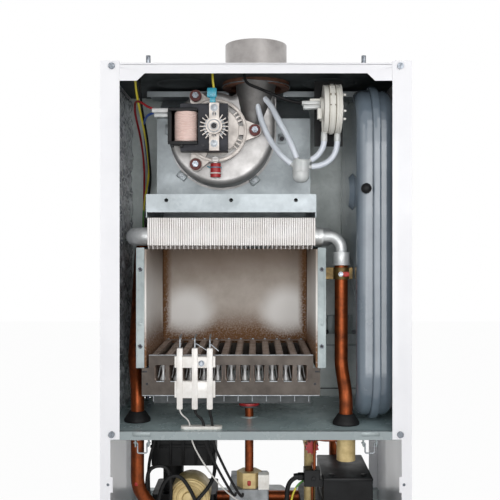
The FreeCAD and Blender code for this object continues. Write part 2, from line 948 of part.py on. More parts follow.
# Motor plate: hub, rim, stiffening ribs, three webbed lobes and two posts for the stator.
plate_y = behind(plate_front)
plate_end = plate_y + plate_thick
stator_y = behind(stator_front)
stator_end = stator_y + stator_thick
bridge_y = behind(bridge_front)
bridge_end = bridge_y + bridge_thick
pieces = [
    along_y(fan_x, plate_y, plate_end, fan_z, plate_hub_r),
    along_y(fan_x, plate_y, plate_end, fan_z, plate_rim_r).cut(
        along_y(fan_x, plate_y, plate_end, fan_z, plate_rim_r - plate_rim)),
]
for turn in rib_turns:
    rib = box(fan_x + plate_hub_r - rib_wide, fan_x + plate_rim_r - plate_rim + rib_wide, plate_y, plate_end,
              fan_z - rib_wide / 2, fan_z + rib_wide / 2)
    pieces.append(spun(rib, turn))
web_in = (plate_rim_r - plate_rim / 2) * math.cos(math.radians(web_turn))
web_half = (plate_rim_r - plate_rim / 2) * math.sin(math.radians(web_turn))
lobes = []
for i in range(lobe_count):
    turn = 2 * math.pi * i / lobe_count
    lobes.append((fan_x + lobe_circle * math.cos(turn), fan_z + lobe_circle * math.sin(turn)))
    arm = [
        box(fan_x, fan_x + lobe_circle, plate_y, plate_end, fan_z - spoke_wide / 2, fan_z + spoke_wide / 2),
        slab([
            V(fan_x + web_in, plate_y, fan_z - web_half), V(fan_x + lobe_circle, plate_y, fan_z - lobe_r),
            V(fan_x + lobe_circle, plate_y, fan_z + lobe_r), V(fan_x + web_in, plate_y, fan_z + web_half),
        ], V(0, plate_thick, 0)),
    ]
    pieces += [spun(bar, -math.degrees(turn)) for bar in arm]
    pieces.append(along_y(lobes[-1][0], plate_y, plate_end, lobes[-1][1], lobe_r))
for z in (fan_z + post_up, fan_z - post_down):
    pieces.append(along_y(fan_x, bridge_end, plate_y, z, post_r))
    pieces.append(along_y(fan_x, stator_end, plate_y, z, post_sleeve_r))
motor_plate = join(pieces).cut(along_y(fan_x, plate_y, plate_end, fan_z, shaft_r + run_gap))
motor_plate = motor_plate.cut(along_y(fan_x, plate_y, plate_end, arm_z, cap_arm_r + cap_gap))
for x, z in lobes:
    motor_plate = motor_plate.cut(along_y(x, plate_y, plate_end, z, grommet_neck_r))
nodes["motor_plate"] = motor_plate

grommets = []
for x, z in lobes:
    grommet = join([
        along_y(x, plate_y - grommet_head, plate_y, z, grommet_r),
        along_y(x, plate_y, plate_end, z, grommet_neck_r),
        along_y(x, plate_end, volute_y, z, grommet_r),
    ])
    grommets.append(grommet.cut(along_y(x, plate_y - grommet_head, volute_y, z, grommet_bore)))
    head_y = plate_y - grommet_head
    corners = []
    for i in range(6):
        turn = math.pi * i / 3
        corners.append(V(x + bolt_head_r * math.cos(turn), head_y - bolt_head, z + bolt_head_r * math.sin(turn)))
    screws.append(join([slab(corners, V(0, bolt_head, 0)), along_y(x, head_y, volute_y, z, grommet_bore)]))
nodes["motor_grommets"] = Part.makeCompound(grommets)
nodes["casing_screws"] = Part.makeCompound(screws)

# Stator: a lamination stack with the rotor bore on the right and the coil's leg on the left.
stator_x0 = fan_x - stator_left
window_x0 = stator_x0 + leg_wide
stator = box(stator_x0, fan_x + stator_right, stator_y, stator_end, fan_z - stator_down, fan_z + stator_up)
stator = stator.cut(box(window_x0, window_x0 + window_wide, stator_y, stator_end,
                        fan_z - window_down, fan_z + window_up))
stator = stator.cut(along_y(fan_x, stator_y, stator_end, fan_z, rotor_r + rotor_gap))
for z in (fan_z + post_up, fan_z - post_down):
    stator = stator.cut(along_y(fan_x, stator_y, stator_end, z, post_r))
nodes["motor_stator"] = stator

# Bobbin round the leg, then the coil: a plain core under one wound layer.
leg_x = stator_x0 + leg_wide / 2
leg_y = stator_y + stator_thick / 2
coil_low = fan_z - window_down + bobbin_flange
coil_top = fan_z + window_up - bobbin_flange
reach_left = leg_x - coil_core_r - 2 * wire_r - bobbin_reach
reach_right = window_x0 + window_wide
leg = box(stator_x0, window_x0, stator_y, stator_end, coil_low - bobbin_flange, coil_top + bobbin_flange)
sleeve = box(stator_x0 - bobbin_wall, window_x0 + bobbin_wall, stator_y - bobbin_wall, stator_end + bobbin_wall,
             coil_low - bobbin_flange, coil_top + bobbin_flange)
bobbin_deep = coil_core_r + 2 * wire_r
bobbin = join([
    sleeve,
    box(reach_left, reach_right, leg_y - bobbin_deep, leg_y + bobbin_deep, coil_low - bobbin_flange, coil_low),
    box(reach_left, reach_right, leg_y - bobbin_deep, leg_y + bobbin_deep, coil_top, coil_top + bobbin_flange),
])
nodes["coil_bobbin"] = bobbin.cut(leg)
core = along_z(leg_x, leg_y, coil_low, coil_top, coil_core_r).cut(sleeve)
wind_r = coil_core_r + wire_r + wire_margin / 4
wire_pitch = (coil_top - coil_low - 2 * wire_r - 2 * wire_margin) / coil_turns


def turn_at(quarter):
    # Point and direction on the winding after so many quarter turns.
    turn = quarter * math.pi / 2
    rise = wire_pitch / 4
    point = V(leg_x + wind_r * math.cos(turn), leg_y + wind_r * math.sin(turn),
              coil_low + wire_margin + wire_r + quarter * rise)
    way = V(-wind_r * math.sin(turn), wind_r * math.cos(turn), rise / (math.pi / 2)).normalize()
    return point, way


def bend(a, b, way):
    # Arc from a to b that leaves a along way.
    chord = b - a
    lean = way.getAngle(chord)
    side = V(way - V(chord).normalize() * way.dot(V(chord).normalize())).normalize()
    return Part.Arc(a, a + chord * 0.5 + side * (chord.Length / 2 * math.tan(lean / 2)), b).toShape()


turns = []
for quarter in range(4 * coil_turns):
    a, out = turn_at(quarter)
    b, into = turn_at(quarter + 1)
    chord = b - a
    both = out + into
    spread = 2 * (1 - out.dot(into))
    reach = (math.sqrt(chord.dot(both) ** 2 + spread * chord.dot(chord)) - chord.dot(both)) / spread
    middle = (a + b + (out - into) * reach) * 0.5
    turns.append(bend(a, middle, out))
    turns.append(bend(b, middle, into * -1))
first, way = turn_at(0)
winding = Part.Wire(turns)
wound = winding.makePipeShell([Part.Wire(Part.makeCircle(wire_r, first, way))], True, False)
marks = winding.discretize(24 * coil_turns + 1)
least = min((marks[i] - marks[k]).Length for i in range(len(marks)) for k in range(i + 12, len(marks)))
print("coil: least gap between turns", round(least - 2 * wire_r, 3))
nodes["motor_coil"] = Part.makeCompound([core, wound])

# Bearing bridge: a strap over the stator with a finned cup round the shaft.
cup_y = behind(cup_front)
pieces = [
    box(fan_x - bridge_wide / 2, fan_x + bridge_wide / 2, bridge_y, bridge_end,
        fan_z - stator_down, fan_z + stator_up),
    along_y(fan_x, cup_y, bridge_end, fan_z, cup_r),
]
for i in range(cup_fin_count):
    fin = box(fan_x + cup_r - cup_fin, fan_x + cup_fin_r, bridge_end - cup_fin_deep, bridge_end,
              fan_z - cup_fin / 2, fan_z + cup_fin / 2)
    pieces.append(spun(fin, i * 360 / cup_fin_count))
bridge = join(pieces).cut(along_y(fan_x, cup_y, bridge_end, fan_z, shaft_r + run_gap))
nodes["bearing_bridge"] = bridge

# Rotor, impeller and cooling wheel turn together.
impeller_y = behind(impeller_front)
impeller_end = impeller_y + impeller_deep
wheel_y = behind(wheel_front)
nodes["fan_shaft"] = join([
    along_y(fan_x, behind(shaft_front), impeller_y + impeller_hub_r, fan_z, shaft_r),
    along_y(fan_x, stator_y, stator_end, fan_z, rotor_r),
])
pieces = [
    along_y(fan_x, impeller_y, impeller_y + impeller_disc, fan_z, impeller_r),
    along_y(fan_x, impeller_y, impeller_y + impeller_hub_r, fan_z, impeller_hub_r),
    along_y(fan_x, impeller_end - impeller_disc, impeller_end, fan_z, impeller_r).cut(
        along_y(fan_x, impeller_end - impeller_disc, impeller_end, fan_z, impeller_inner_r)),
]
for i in range(impeller_count):
    blade = box(fan_x + impeller_inner_r + impeller_blade, fan_x + impeller_r - impeller_blade,
                impeller_y, impeller_end,
                fan_z - impeller_blade / 2, fan_z + impeller_blade / 2)
    pieces.append(spun(blade, i * 360 / impeller_count))
nodes["fan_impeller"] = join(pieces).cut(
    along_y(fan_x, impeller_y, impeller_y + impeller_hub_r, fan_z, shaft_r))
pieces = [
    along_y(fan_x, wheel_y, wheel_y + wheel_deep, fan_z, wheel_hub_r),
    along_y(fan_x, wheel_y + wheel_deep - wheel_disc, wheel_y + wheel_deep, fan_z, wheel_r),
]
for i in range(wheel_count):
    blade = box(fan_x + wheel_hub_r - wheel_blade, fan_x + wheel_r - wheel_blade, wheel_y, wheel_y + wheel_deep,
                fan_z - wheel_blade / 2, fan_z + wheel_blade / 2)
    pieces.append(spun(blade, i * 360 / wheel_count))
nodes["cooling_wheel"] = join(pieces).cut(along_y(fan_x, wheel_y, wheel_y + wheel_deep, fan_z, shaft_r))

# Pressure switch: two shells on a flange, axis across the boiler.
switch_y = behind(switch_back)
bracket_y = behind(bracket_back)
left_port_x = switch_x - port_left
right_port_x = switch_x + port_right
port_low = switch_z - switch_r - port_long
terminal_x = switch_x - switch_half - switch_boss
switch = join([
    along_x(switch_x - switch_half, switch_x + switch_half, switch_y, switch_z, switch_r),
    along_x(switch_x - switch_flange / 2, switch_x + switch_flange / 2, switch_y, switch_z, switch_flange_r),
    along_x(terminal_x, switch_x + switch_half + switch_boss, switch_y, switch_z, switch_boss_r),
    along_z(left_port_x, switch_y, port_low, switch_z, port_r),
    along_z(right_port_x, switch_y, port_low, switch_z, port_r),
    box(terminal_x - terminal_long, terminal_x, switch_y - terminal_deep / 2, switch_y + terminal_deep / 2,
        switch_z + terminal_up - terminal_tall / 2, switch_z + terminal_up + terminal_tall / 2),
    box(switch_x - foot_wide / 2, switch_x + foot_wide / 2, switch_y, bracket_y,
        switch_z - foot_tall / 2, switch_z + foot_tall / 2),
])
nodes["pressure_switch"] = switch
nodes["switch_bracket"] = join([
    box(switch_x - bracket_half, switch_x + bracket_half, bracket_y, bracket_y + bracket_thick,
        switch_z - bracket_down, roof_under),
    box(switch_x - bracket_half, switch_x + bracket_half, bracket_y, bracket_y + bracket_top,
        roof_under - bracket_thick, roof_under),
])

# Trap cup: a round-bottomed bottle on a post from the hood, with two stubs on each shoulder.
trap_y = behind(trap_back)
trap_low = hood_ledge + trap_rise
trap_top = trap_low + trap_tall
cup = along_z(trap_x, trap_y, trap_low, trap_top, trap_r)
cup = cup.makeFillet(trap_round, [e for e in cup.Edges if e.BoundBox.ZMax < trap_low + trap_round])
stub_ends = []
stubs = [along_y(trap_x, trap_y, volute_end, trap_top - trap_tall / 2, trap_post_r)]
for place, way in zip(stub_shares, stub_way_shares):
    way = V(way[0], 0, way[1]).normalize()
    foot = V(trap_x + place[0] * trap_r, trap_y, trap_top - place[1] * trap_tall) + way * stub_long
    stub_ends.append((foot, way))
    stubs.append(rod(foot - way * stub_long * 2, foot, stub_r))
nodes["condensate_cup"] = join([cup] + stubs)


barb_a = upper_barb + upper_way * barb_long
barb_b = lower_barb + lower_way * barb_long
port_a = V(left_port_x, switch_y, port_low)
port_b = V(right_port_x, switch_y, port_low)


def between(a, b, share, lift):
    return a + (b - a) * share + V(0, 0, lift)


down_hoses = [
    (barb_a, upper_way, stub_ends[0][0], stub_ends[0][1]),
    (barb_b, lower_way, stub_ends[1][0], stub_ends[1][1]),
]
tubes = []
for i in range(len(down_hoses)):
    start, start_way, end, end_way = down_hoses[i]
    mids = [between(start, end, share, lift) for share, lift in hose_mids[i]]
    first = [start, start + start_way * hose_leads[i]]
    tubes.append(route(first + mids + [end + end_way * hose_leads[i], end], tube_r))
for (start, way), port in ((stub_ends[2], port_a), (stub_ends[3], port_b)):
    corner = start + way * ((port.x - start.x) / way.x)
    tubes.append(route([start, corner, port], tube_r))
nodes["pressure_tubes"] = Part.makeCompound(tubes)
tell("pressure_tubes", tube_r)

# Flue hood: low tray over the exchanger, upper box behind the fan, open underneath.
hood_y = behind(chamber_front + hood_set)
hood_end = behind(chamber_back - hood_rear_gap)
brow = fan_z + hood_brow
hood_top = roof_under - hood_rear_drop


def hood_body(inset, z_low):
    profile = [
        V(hood_x - hood_half + inset, hood_y + inset, z_low),
        V(hood_x - hood_half + inset, hood_end - inset, z_low),
        V(hood_x - hood_half + inset, hood_end - inset, hood_top - inset),
        V(hood_x - hood_half + inset, volute_end + inset, brow - inset / 2),
        V(hood_x - hood_half + inset, volute_end + inset, hood_ledge - inset),
        V(hood_x - hood_half + inset, hood_y + inset, hood_ledge - inset),
    ]
    return slab(profile, V(2 * (hood_half - inset), 0, 0))


hanger_x0 = hood_x - hood_half - hanger_left
hanger_x1 = hood_x + hood_half + hanger_right
hanger_y = volute_end + hanger_gap
hanger = join([
    hood_body(0, hood_low),
    box(hanger_x0, hanger_x1, hanger_y, hood_end, hood_top - hood_sheet, hood_top),
    box(hanger_x0, hanger_x1, hanger_y, hanger_y + hood_sheet, hood_top - hanger_lip, hood_top),
])
hood = hanger.cut(hood_body(hood_sheet, hood_low))
hood = hood.cut(along_z(flue_x, flue_y, hood_top - hanger_lip, hood_top, gasket_r + hanger_gap))
hood = hood.cut(box(hood_x - hood_half, hood_x + hood_half, hood_y, hood_y + hood_sheet,
                    hood_low, hood_flange_low))
for i in (-1, 0, 1):
    hood = hood.cut(along_y(hood_x + i * hood_hole_pitch, hood_y, hood_y + hood_sheet,
                            hood_ledge - hood_hole_drop, hood_hole_r))
nodes["flue_hood"] = hood.cut(along_y(fan_x, volute_end, volute_end + hood_sheet, fan_z, hood_inlet_r))

# Fin pack: one block, combed along its front, bored for the tubes.
fins_y = behind(fins_front)
fins_end = behind(fins_back)
fin_pitch = 2 * fins_half / (fin_count - 1 + fin_share)
fin = fin_pitch * fin_share
comb = [V(hood_x + fins_half, fins_end, fins_low), V(hood_x - fins_half, fins_end, fins_low)]
for i in range(fin_count):
    x = hood_x - fins_half + i * fin_pitch
    comb.append(V(x, fins_y, fins_low))
    comb.append(V(x + fin, fins_y, fins_low))
    if i < fin_count - 1:
        comb.append(V(x + fin, fins_y + fin_deep, fins_low))
        comb.append(V(x + fin_pitch, fins_y + fin_deep, fins_low))
fins = slab(comb, V(0, 0, hood_low - fins_low))
tube_first = fins_y + tube_margin
tube_count = 1 + 2 * int((fins_end - tube_rear_margin - tube_first) / (2 * tube_pitch))
tube_ys = [tube_first + i * tube_pitch for i in range(tube_count)]
for y in tube_ys:
    fins = fins.cut(along_x(hood_x - fins_half, hood_x + fins_half, y, tube_height, coil_tube_r))
nodes["exchanger_fins"] = fins

# Exchanger tubes: straight runs and half-turn bends, from the left at the back to the right in front.
left_end = hood_x - fins_half - tube_stub
right_end_x = hood_x + fins_half + tube_stub


def serpentine(r):
    parts = [along_x(left_end, right_end_x, y, tube_height, r) for y in tube_ys]
    for i in range(tube_count - 1):
        on_left = i % 2 == 0
        x = left_end if on_left else right_end_x
        middle = V(x, (tube_ys[i] + tube_ys[i + 1]) / 2, tube_height)
        bend = Part.makeTorus(tube_pitch / 2, r, middle, V(0, 0, 1))
        reach = tube_pitch / 2 + coil_tube_r
        x0, x1 = (x - reach, x) if on_left else (x, x + reach)
        half = box(x0, x1, middle.y - reach, middle.y + reach,
                   tube_height - coil_tube_r, tube_height + coil_tube_r)
        parts.append(bend.common(half))
    return join(parts)


nodes["exchanger_tubes"] = serpentine(coil_tube_r).cut(serpentine(coil_tube_r - coil_tube_wall))

# Silver elbow from the front tube to the right riser.
right_y = tube_ys[0]
elbow = join([
    route([
        V(right_end_x, right_y, tube_height),
        V(right_x, right_y, tube_height),
        V(right_x, right_y, socket_low),
    ], elbow_r, elbow_bend),
    along_x(right_end_x, right_end_x + elbow_collar, right_y, tube_height, elbow_collar_r),
    along_z(right_x, right_y, socket_low, socket_low + socket_tall, socket_r),
])
nodes["flow_elbow"] = elbow

# Combustion chamber: a bent casing open in front, with flanges turned in.
case_y = behind(chamber_front)
case_end = behind(chamber_back)
chamber_in = chamber_half - chamber_sheet
case = box(hood_x - chamber_half, hood_x + chamber_half, case_y, case_end, chamber_low, chamber_top)
case = case.cut(box(hood_x - chamber_in, hood_x + chamber_in, case_y + chamber_sheet, case_end - chamber_sheet,
                    chamber_low, chamber_top))
mouth = chamber_half - chamber_flange
case = case.cut(box(hood_x - mouth, hood_x + mouth, case_y, case_y + chamber_sheet, chamber_low, chamber_top))
for side in (-1, 1):
    for z in (chamber_low + chamber_hole_inset * 2, chamber_top - chamber_hole_inset):
        x = hood_x + side * (chamber_half - chamber_flange / 2)
        case = case.cut(along_y(x, case_y, case_y + chamber_sheet, z, chamber_hole_r))
nodes["combustion_chamber"] = case
board_in = chamber_in - board_thick
board_back = case_end - chamber_sheet
boards = [
    box(hood_x - chamber_in, hood_x - board_in, case_y + chamber_sheet, board_back, chamber_low, fins_low),
    box(hood_x + board_in, hood_x + chamber_in, case_y + chamber_sheet, board_back, chamber_low, fins_low),
    box(hood_x - board_in, hood_x + board_in, board_back - board_thick, board_back, chamber_low, fins_low),
]
nodes["insulation_boards"] = Part.makeCompound(boards)

# Burner tray: front plate with round-cornered windows, two sides and a rear strip, then the slotted blades.
burner_end = behind(chamber_back - burner_rear_gap)
burner_room = board_in - burner_side_gap - chamber_sheet - blade_head / 2
window_count = int(2 * burner_room / burner_pitch)
burner_ear_half = chamber_half - ear_inset
window_low = burner_low + window_rise
window_top = window_low + window_tall
burner_side_low = burner_low + burner_side_rise
burner_side_top = burner_top - burner_side_drop
blade_low = burner_low + blade_rise
blade_top = burner_top - blade_drop
manifold_low = burner_low - manifold_drop
manifold_top = manifold_low + manifold_tall
blade_edge = window_count / 2 * burner_pitch + blade_head / 2
burner_upper_half = blade_edge + chamber_sheet
plate = [
    V(hood_x - burner_ear_half, case_y, burner_low), V(hood_x + burner_ear_half, case_y, burner_low),
    V(hood_x + burner_ear_half, case_y, chamber_low), V(hood_x + burner_upper_half, case_y, chamber_low),
    V(hood_x + burner_upper_half, case_y, burner_top), V(hood_x - burner_upper_half, case_y, burner_top),
    V(hood_x - burner_upper_half, case_y, chamber_low), V(hood_x - burner_ear_half, case_y, chamber_low),
]
tray = slab(plate, V(0, chamber_sheet, 0))
window_half = burner_pitch * window_share / 2
for i in range(window_count):
    x = hood_x + (i - (window_count - 1) / 2) * burner_pitch
    opening = box(x - window_half, x + window_half, case_y, case_y + chamber_sheet, window_low, window_top)
    corners = [e for e in opening.Edges if e.BoundBox.YLength > chamber_sheet / 2]
    tray = tray.cut(opening.makeFillet(window_corner, corners))
nodes["burner_tray"] = join([
    tray,
    box(hood_x - burner_upper_half, hood_x - blade_edge, case_y, burner_end, burner_side_low, burner_side_top),
    box(hood_x + blade_edge, hood_x + burner_upper_half, case_y, burner_end, burner_side_low, burner_side_top),
    box(hood_x - burner_upper_half, hood_x + burner_upper_half, burner_end - chamber_sheet, burner_end,
        burner_side_low, burner_side_top),
])
blade_y = case_y + chamber_sheet
blade_end = burner_end - chamber_sheet
blade_neck_low = blade_low + blade_foot_tall
blade_neck_top = blade_top - blade_head_tall
half_outline = [
    (blade_foot / 2, blade_low), (blade_foot / 2, blade_neck_low), (blade_thick / 2, blade_neck_low + blade_slope),
    (blade_thick / 2, blade_neck_top - blade_slope), (blade_head / 2, blade_neck_top), (blade_head / 2, blade_top),
]
outline = half_outline + [(-x, z) for x, z in reversed(half_outline)]
blade = slab([V(x, blade_y, z) for x, z in outline], V(0, blade_end - blade_y, 0))
slots = [along_y(0, blade_y, blade_y + blade_bore_deep, blade_low + blade_foot_tall / 2, blade_bore_r)]
slot_y = blade_y + blade_slot_margin
while slot_y + blade_slot < blade_end - blade_slot_margin:
    slots.append(box(blade_rail - blade_head / 2, blade_head / 2 - blade_rail, slot_y, slot_y + blade_slot,
                     blade_top - blade_slot_deep, blade_top))
    slot_y += blade_slot_pitch
blade = blade.cut(slots)
blades = []
injectors = []
manifold_y = behind(manifold_front)
manifold_mid = manifold_y + manifold_deep / 2
for i in range(window_count + 1):
    x = hood_x + (i - window_count / 2) * burner_pitch
    blades.append(blade.translated(V(x, 0, 0)))
    injectors.append(along_z(x, manifold_mid, manifold_top, blade_low, injector_r))
nodes["burner_blades"] = Part.makeCompound(blades)
manifold = box(hood_x - burner_upper_half, hood_x + burner_upper_half, manifold_y, manifold_y + manifold_deep,
               manifold_low, manifold_top)
union_low = manifold_low - gas_union
nodes["gas_manifold"] = join([manifold, along_z(gas_x, gas_y, union_low, manifold_low, gas_union_r)] + injectors)

# Electrode block: three ceramic rods joined by two bars, on the burner's front.
rod_y = behind(rod_back)
rod_low = burner_low - rod_drop
rod_top = burner_top + rod_up
bar_upper_low = rod_top - bar_upper_drop
bar_lower_low = rod_low + bar_lower_rise
rod_xs = [electrode_x + (i - 1) * rod_pitch for i in range(3)]
bar_x0 = rod_xs[0] - rod_r - bar_over
bar_x1 = rod_xs[2] + rod_r + bar_over
ceramic = [along_z(x, rod_y, rod_low, rod_top, rod_r) for x in rod_xs]
ceramic.append(box(bar_x0, bar_x1, rod_y, case_y, bar_upper_low, bar_upper_low + bar_upper_tall))
ceramic.append(box(bar_x0, bar_x1, rod_y, case_y, bar_lower_low, bar_lower_low + bar_lower_tall))
nodes["electrode_block"] = join(ceramic)
radii.clear()
nodes["electrodes"] = Part.makeCompound([
    route([V(x, rod_y, rod_top), V(x, rod_y, rod_top + pin_up), V(x, rod_y + pin_lean, rod_top + pin_up + pin_r)],
          pin_r, pin_bend) for x in rod_xs])

radii.clear()

# Grommet in the shelf and the three leads through it to the gas valve.
lead_xs = [grommet_x + share * lead_slot for share in lead_hole_shares]
lead_rs = [lead_thin_r, lead_r, lead_r]
grommet = join([
    box(grommet_x - lead_slot, grommet_x + lead_slot, grommet_y - grommet_deep / 2, grommet_y + grommet_deep / 2,
        shelf_height, shelf_height + grommet_tall),
    along_z(grommet_x - lead_slot, grommet_y, shelf_height, shelf_height + grommet_tall, grommet_deep / 2),
    along_z(grommet_x + lead_slot, grommet_y, shelf_height, shelf_height + grommet_tall, grommet_deep / 2),
])
leads = []
valve_y = behind(valve_front)
valve_top = nut_low
for i in range(3):
    x = lead_xs[i]
    r = lead_rs[i]
    goal = V(gas_x - valve_half + 2 * valve_half * lead_goal_shares[i], valve_y, valve_top - lead_goal_drop[i])
    grommet = grommet.cut(along_z(x, grommet_y, shelf_height, shelf_height + grommet_tall, r + lead_gap))
    foot = V(x, grommet_y, shelf_under - lead_hang + lead_drop)
    near = V(goal.x, goal.y - lead_hang, goal.z)
    mids = [foot + (near - foot) * share + V(0, 0, -lead_sag[i]) for share in lead_mid_shares]
    leads.append(route([
        V(rod_xs[i], rod_y, rod_low),
        V(rod_xs[i], rod_y, rod_low - lead_drop),
        V(x, grommet_y, shelf_height + grommet_tall + lead_drop),
        foot,
    ] + mids + [near, goal], r))
nodes["lead_grommet"] = grommet
nodes["electrode_leads"] = Part.makeCompound(leads)
tell("electrode_leads", lead_r)

# Risers through the shelf.
right_bend = shelf_height + right_bend_rise
right_end = shelf_under - right_end_drop
nodes["riser_right"] = route([
    V(right_x, right_y, socket_low),
    V(right_x, right_y, right_bend),
    V(right_low_x, right_low_y, (right_bend + shelf_height) / 2),
    V(right_low_x, right_low_y, right_end),
], riser_r, riser_bend)
top_y = tube_ys[-1]
block_low_y = behind(block_low_front)
left_turn_z = shelf_under - left_turn_drop
left_end_x = block_left + left_end_in
left_end_z = block_low_top - left_end_drop
nodes["riser_left"] = route([
    V(left_end, top_y, tube_height),
    V(left_top_x, top_y, tube_height),
    V(left_top_x, top_y - left_bend_ahead, tube_height - left_bend_drop),
    V(left_top_x + left_lean_shift, behind(left_lean_back), shelf_height + left_lean_rise),
    V(left_x, left_y, shelf_height + boot_tall + boot_clear),
    V(left_x, left_y, left_turn_z),
    V(left_end_x, block_low_y - left_mid_ahead, left_end_z),
    V(left_end_x, block_low_y, left_end_z),
], riser_r, riser_bend)
boots = []
for x, y in ((right_low_x, right_low_y), (left_x, left_y)):
    boot = join([
        along_z(x, y, shelf_height, shelf_height + boot_foot, boot_r),
        Part.makeCone(boot_r, boot_top_r, boot_tall - boot_foot, V(x, y, shelf_height + boot_foot), V(0, 0, 1)),
    ])
    boots.append(boot.cut(along_z(x, y, shelf_height, shelf_height + boot_tall, riser_r)))
nodes["pipe_boots"] = Part.makeCompound(boots)
clip_r = riser_r + clip_thick
clip_low = socket_low - clip_drop
clip_left = riser_in_gap + riser_r - clip_r - clip_gap
clip_right = riser_vessel_gap - clip_thick - clip_vessel_gap
nodes["pipe_clip"] = join([
    along_z(right_x, right_y, clip_low, clip_low + clip_tall, clip_r),
    box(right_x - clip_r - clip_left, right_x, right_y, right_y + clip_thick, clip_low, clip_low + clip_tall),
    box(right_x, right_x + clip_r + clip_right, right_y, right_y + clip_thick, clip_low, clip_low + clip_tall),
]).cut(along_z(right_x, right_y, clip_low, clip_low + clip_tall, riser_r))

# Expansion vessel: rim band between two pressed shells, standing on the shelf.
vessel_y = behind(vessel_front)
vessel_end = plate_face - vessel_rear_gap
vessel_top = roof_under - vessel_headroom
valve_z = vessel_top - valve_drop
rim_x0 = vessel_x - vessel_rim / 2
rim_x1 = vessel_x + vessel_rim / 2
rim = rounded(vessel_y, vessel_end, shelf_height, vessel_top, vessel_corner, rim_x0).extrude(V(vessel_rim, 0, 0))
hollow = vessel_step + vessel_wall
nodes["vessel_rim"] = rim.cut(rounded(vessel_y + hollow, vessel_end - hollow, shelf_height + hollow,
                                      vessel_top - hollow, vessel_corner - hollow, rim_x0)
                              .extrude(V(vessel_rim, 0, 0)))


def pressing(inset, thick, soft):
    pan = rounded(vessel_y + inset, vessel_end - inset, shelf_height + inset, vessel_top - inset,
                  vessel_corner - inset, rim_x1).extrude(V(thick, 0, 0))
    far = [e for e in pan.Edges if abs(e.BoundBox.XMin - rim_x1 - thick) < soft / 100]
    return pan.makeFillet(soft, far)


shell = pressing(vessel_step, vessel_shell, vessel_round).cut(
    pressing(vessel_step + vessel_wall, vessel_shell - vessel_wall, vessel_round - vessel_wall))
inner_shell = shell.mirror(V(vessel_x, 0, 0), V(1, 0, 0))
shell_face = rim_x0 - vessel_shell
cap_x = rim_x0 - vessel_shell / 2
shell_y = vessel_y + vessel_step
seat = along_y(cap_x, shell_y - valve_long / 3, shell_y + vessel_wall, valve_z, valve_seat_r)
dish = Part.makeCone(dish_r, dish_r - dish_tall, dish_tall,
                     V(shell_face, vessel_y + dish_back, valve_z), V(-1, 0, 0))
nodes["vessel_shells"] = Part.makeCompound([shell, join([inner_shell, seat, dish])])
nodes["vessel_cap"] = along_y(cap_x, shell_y - valve_long, shell_y - valve_long / 3, valve_z, valve_r)


# Wire bails: pins turned out into the shelf's ears.
def bail(side):
    x = side * bail_x
    return route([
        V(x - bail_half - bail_pin, bail_y, bail_pivot),
        V(x - bail_half, bail_y, bail_pivot),
        V(x - bail_half, bail_y, bail_pivot - bail_drop),
        V(x + bail_half, bail_y, bail_pivot - bail_drop),
        V(x + bail_half, bail_y, bail_pivot),
        V(x + bail_half + bail_pin, bail_y, bail_pivot),
    ], bail_wire_r, bail_bend)


nodes["wire_clip_left"] = bail(-1)
nodes["wire_clip_right"] = bail(1)

# Gas pipe, its nut and the gas valve on the gas tail.
nodes["gas_pipe"] = along_z(gas_x, gas_y, nut_low, union_low, gas_pipe_r)
gas_nut = prism(gas_x, gas_y, nut_low, nut_low + nut_tall, nut_across / math.sqrt(3), 6).cut(
    along_z(gas_x, gas_y, nut_low, nut_low + nut_tall, gas_pipe_r))
plug_x = gas_x + valve_half - plug_wide
valve_body = box(gas_x - valve_half, gas_x + valve_half, valve_y, valve_y + valve_deep, tail_top, valve_top)
valve_body = valve_body.makeFillet(valve_round, upright(valve_body))
valve_heads = [
    along_y(gas_x + side * (valve_half - valve_screw_in), valve_y - valve_screw_out, valve_y, z, valve_screw_r)
    for side in (-1, 1) for z in (tail_top + valve_screw_in, valve_top - valve_screw_drop)
]
nodes["gas_valve"] = join(valve_heads + [
    valve_body,
    along_y(gas_x - valve_half + valve_boss_in, valve_y - valve_boss_out, valve_y, tail_top + valve_boss_rise,
            valve_boss_r),
    box(plug_x, plug_x + plug_wide, valve_y, valve_y + plug_deep, valve_top, valve_top + plug_tall),
])

# Pump on its base, with the plug on its left side.
pump_y = behind(pump_front)
base_y = behind(base_front)
din_y0 = behind(din_front)
din_left = pump_left - din_wide
din_top = pump_top + din_over
din_low = din_top - din_tall
pump = box(pump_left, pump_right, pump_y, pump_y + pump_deep, pump_low, pump_top)
top_edges = [e for e in pump.Edges if e.BoundBox.ZMin > pump_top - sheet]
nodes["pump_head"] = pump.makeFillet(pump_round, top_edges)
nodes["pump_plug"] = box(din_left, pump_left, din_y0, din_y0 + din_deep, din_low, din_top).cut(
    box(pump_left - pump_round, pump_left, din_y0, din_y0 + din_deep, pump_top - pump_round, din_top))
pump_foot = box(base_left, base_right, base_y, base_y + base_deep, tail_top, pump_low)
nodes["pump_base"] = pump_foot.makeFillet(base_round, upright(pump_foot))
block_y = behind(block_front)
block_mid = block_y + block_deep / 2
block_low = box(block_left, block_right, block_low_y, block_low_y + block_low_deep, tail_top, block_low_top)
block_up = box(block_left, block_right, block_y, block_y + block_deep, block_leg_top, block_top)
nodes["hydraulic_block"] = join([
    block_low.makeFillet(block_round, upright(block_low)),
    along_z(block_left + block_leg_in, block_mid, block_low_top, block_leg_top, block_leg_r),
    block_up.makeFillet(block_round, upright(block_up)),
])
plates_y = valve_y + valve_deep + plates_gap


def pressed_plate(inset, y, deep):
    flat = box(inset - plates_half, plates_half - inset, y, y + deep, bottom_plate_height + inset,
               bottom_plate_height + plates_tall - inset)
    return flat.makeFillet(plates_corner - inset, [e for e in flat.Edges if e.BoundBox.YLength > deep / 2])


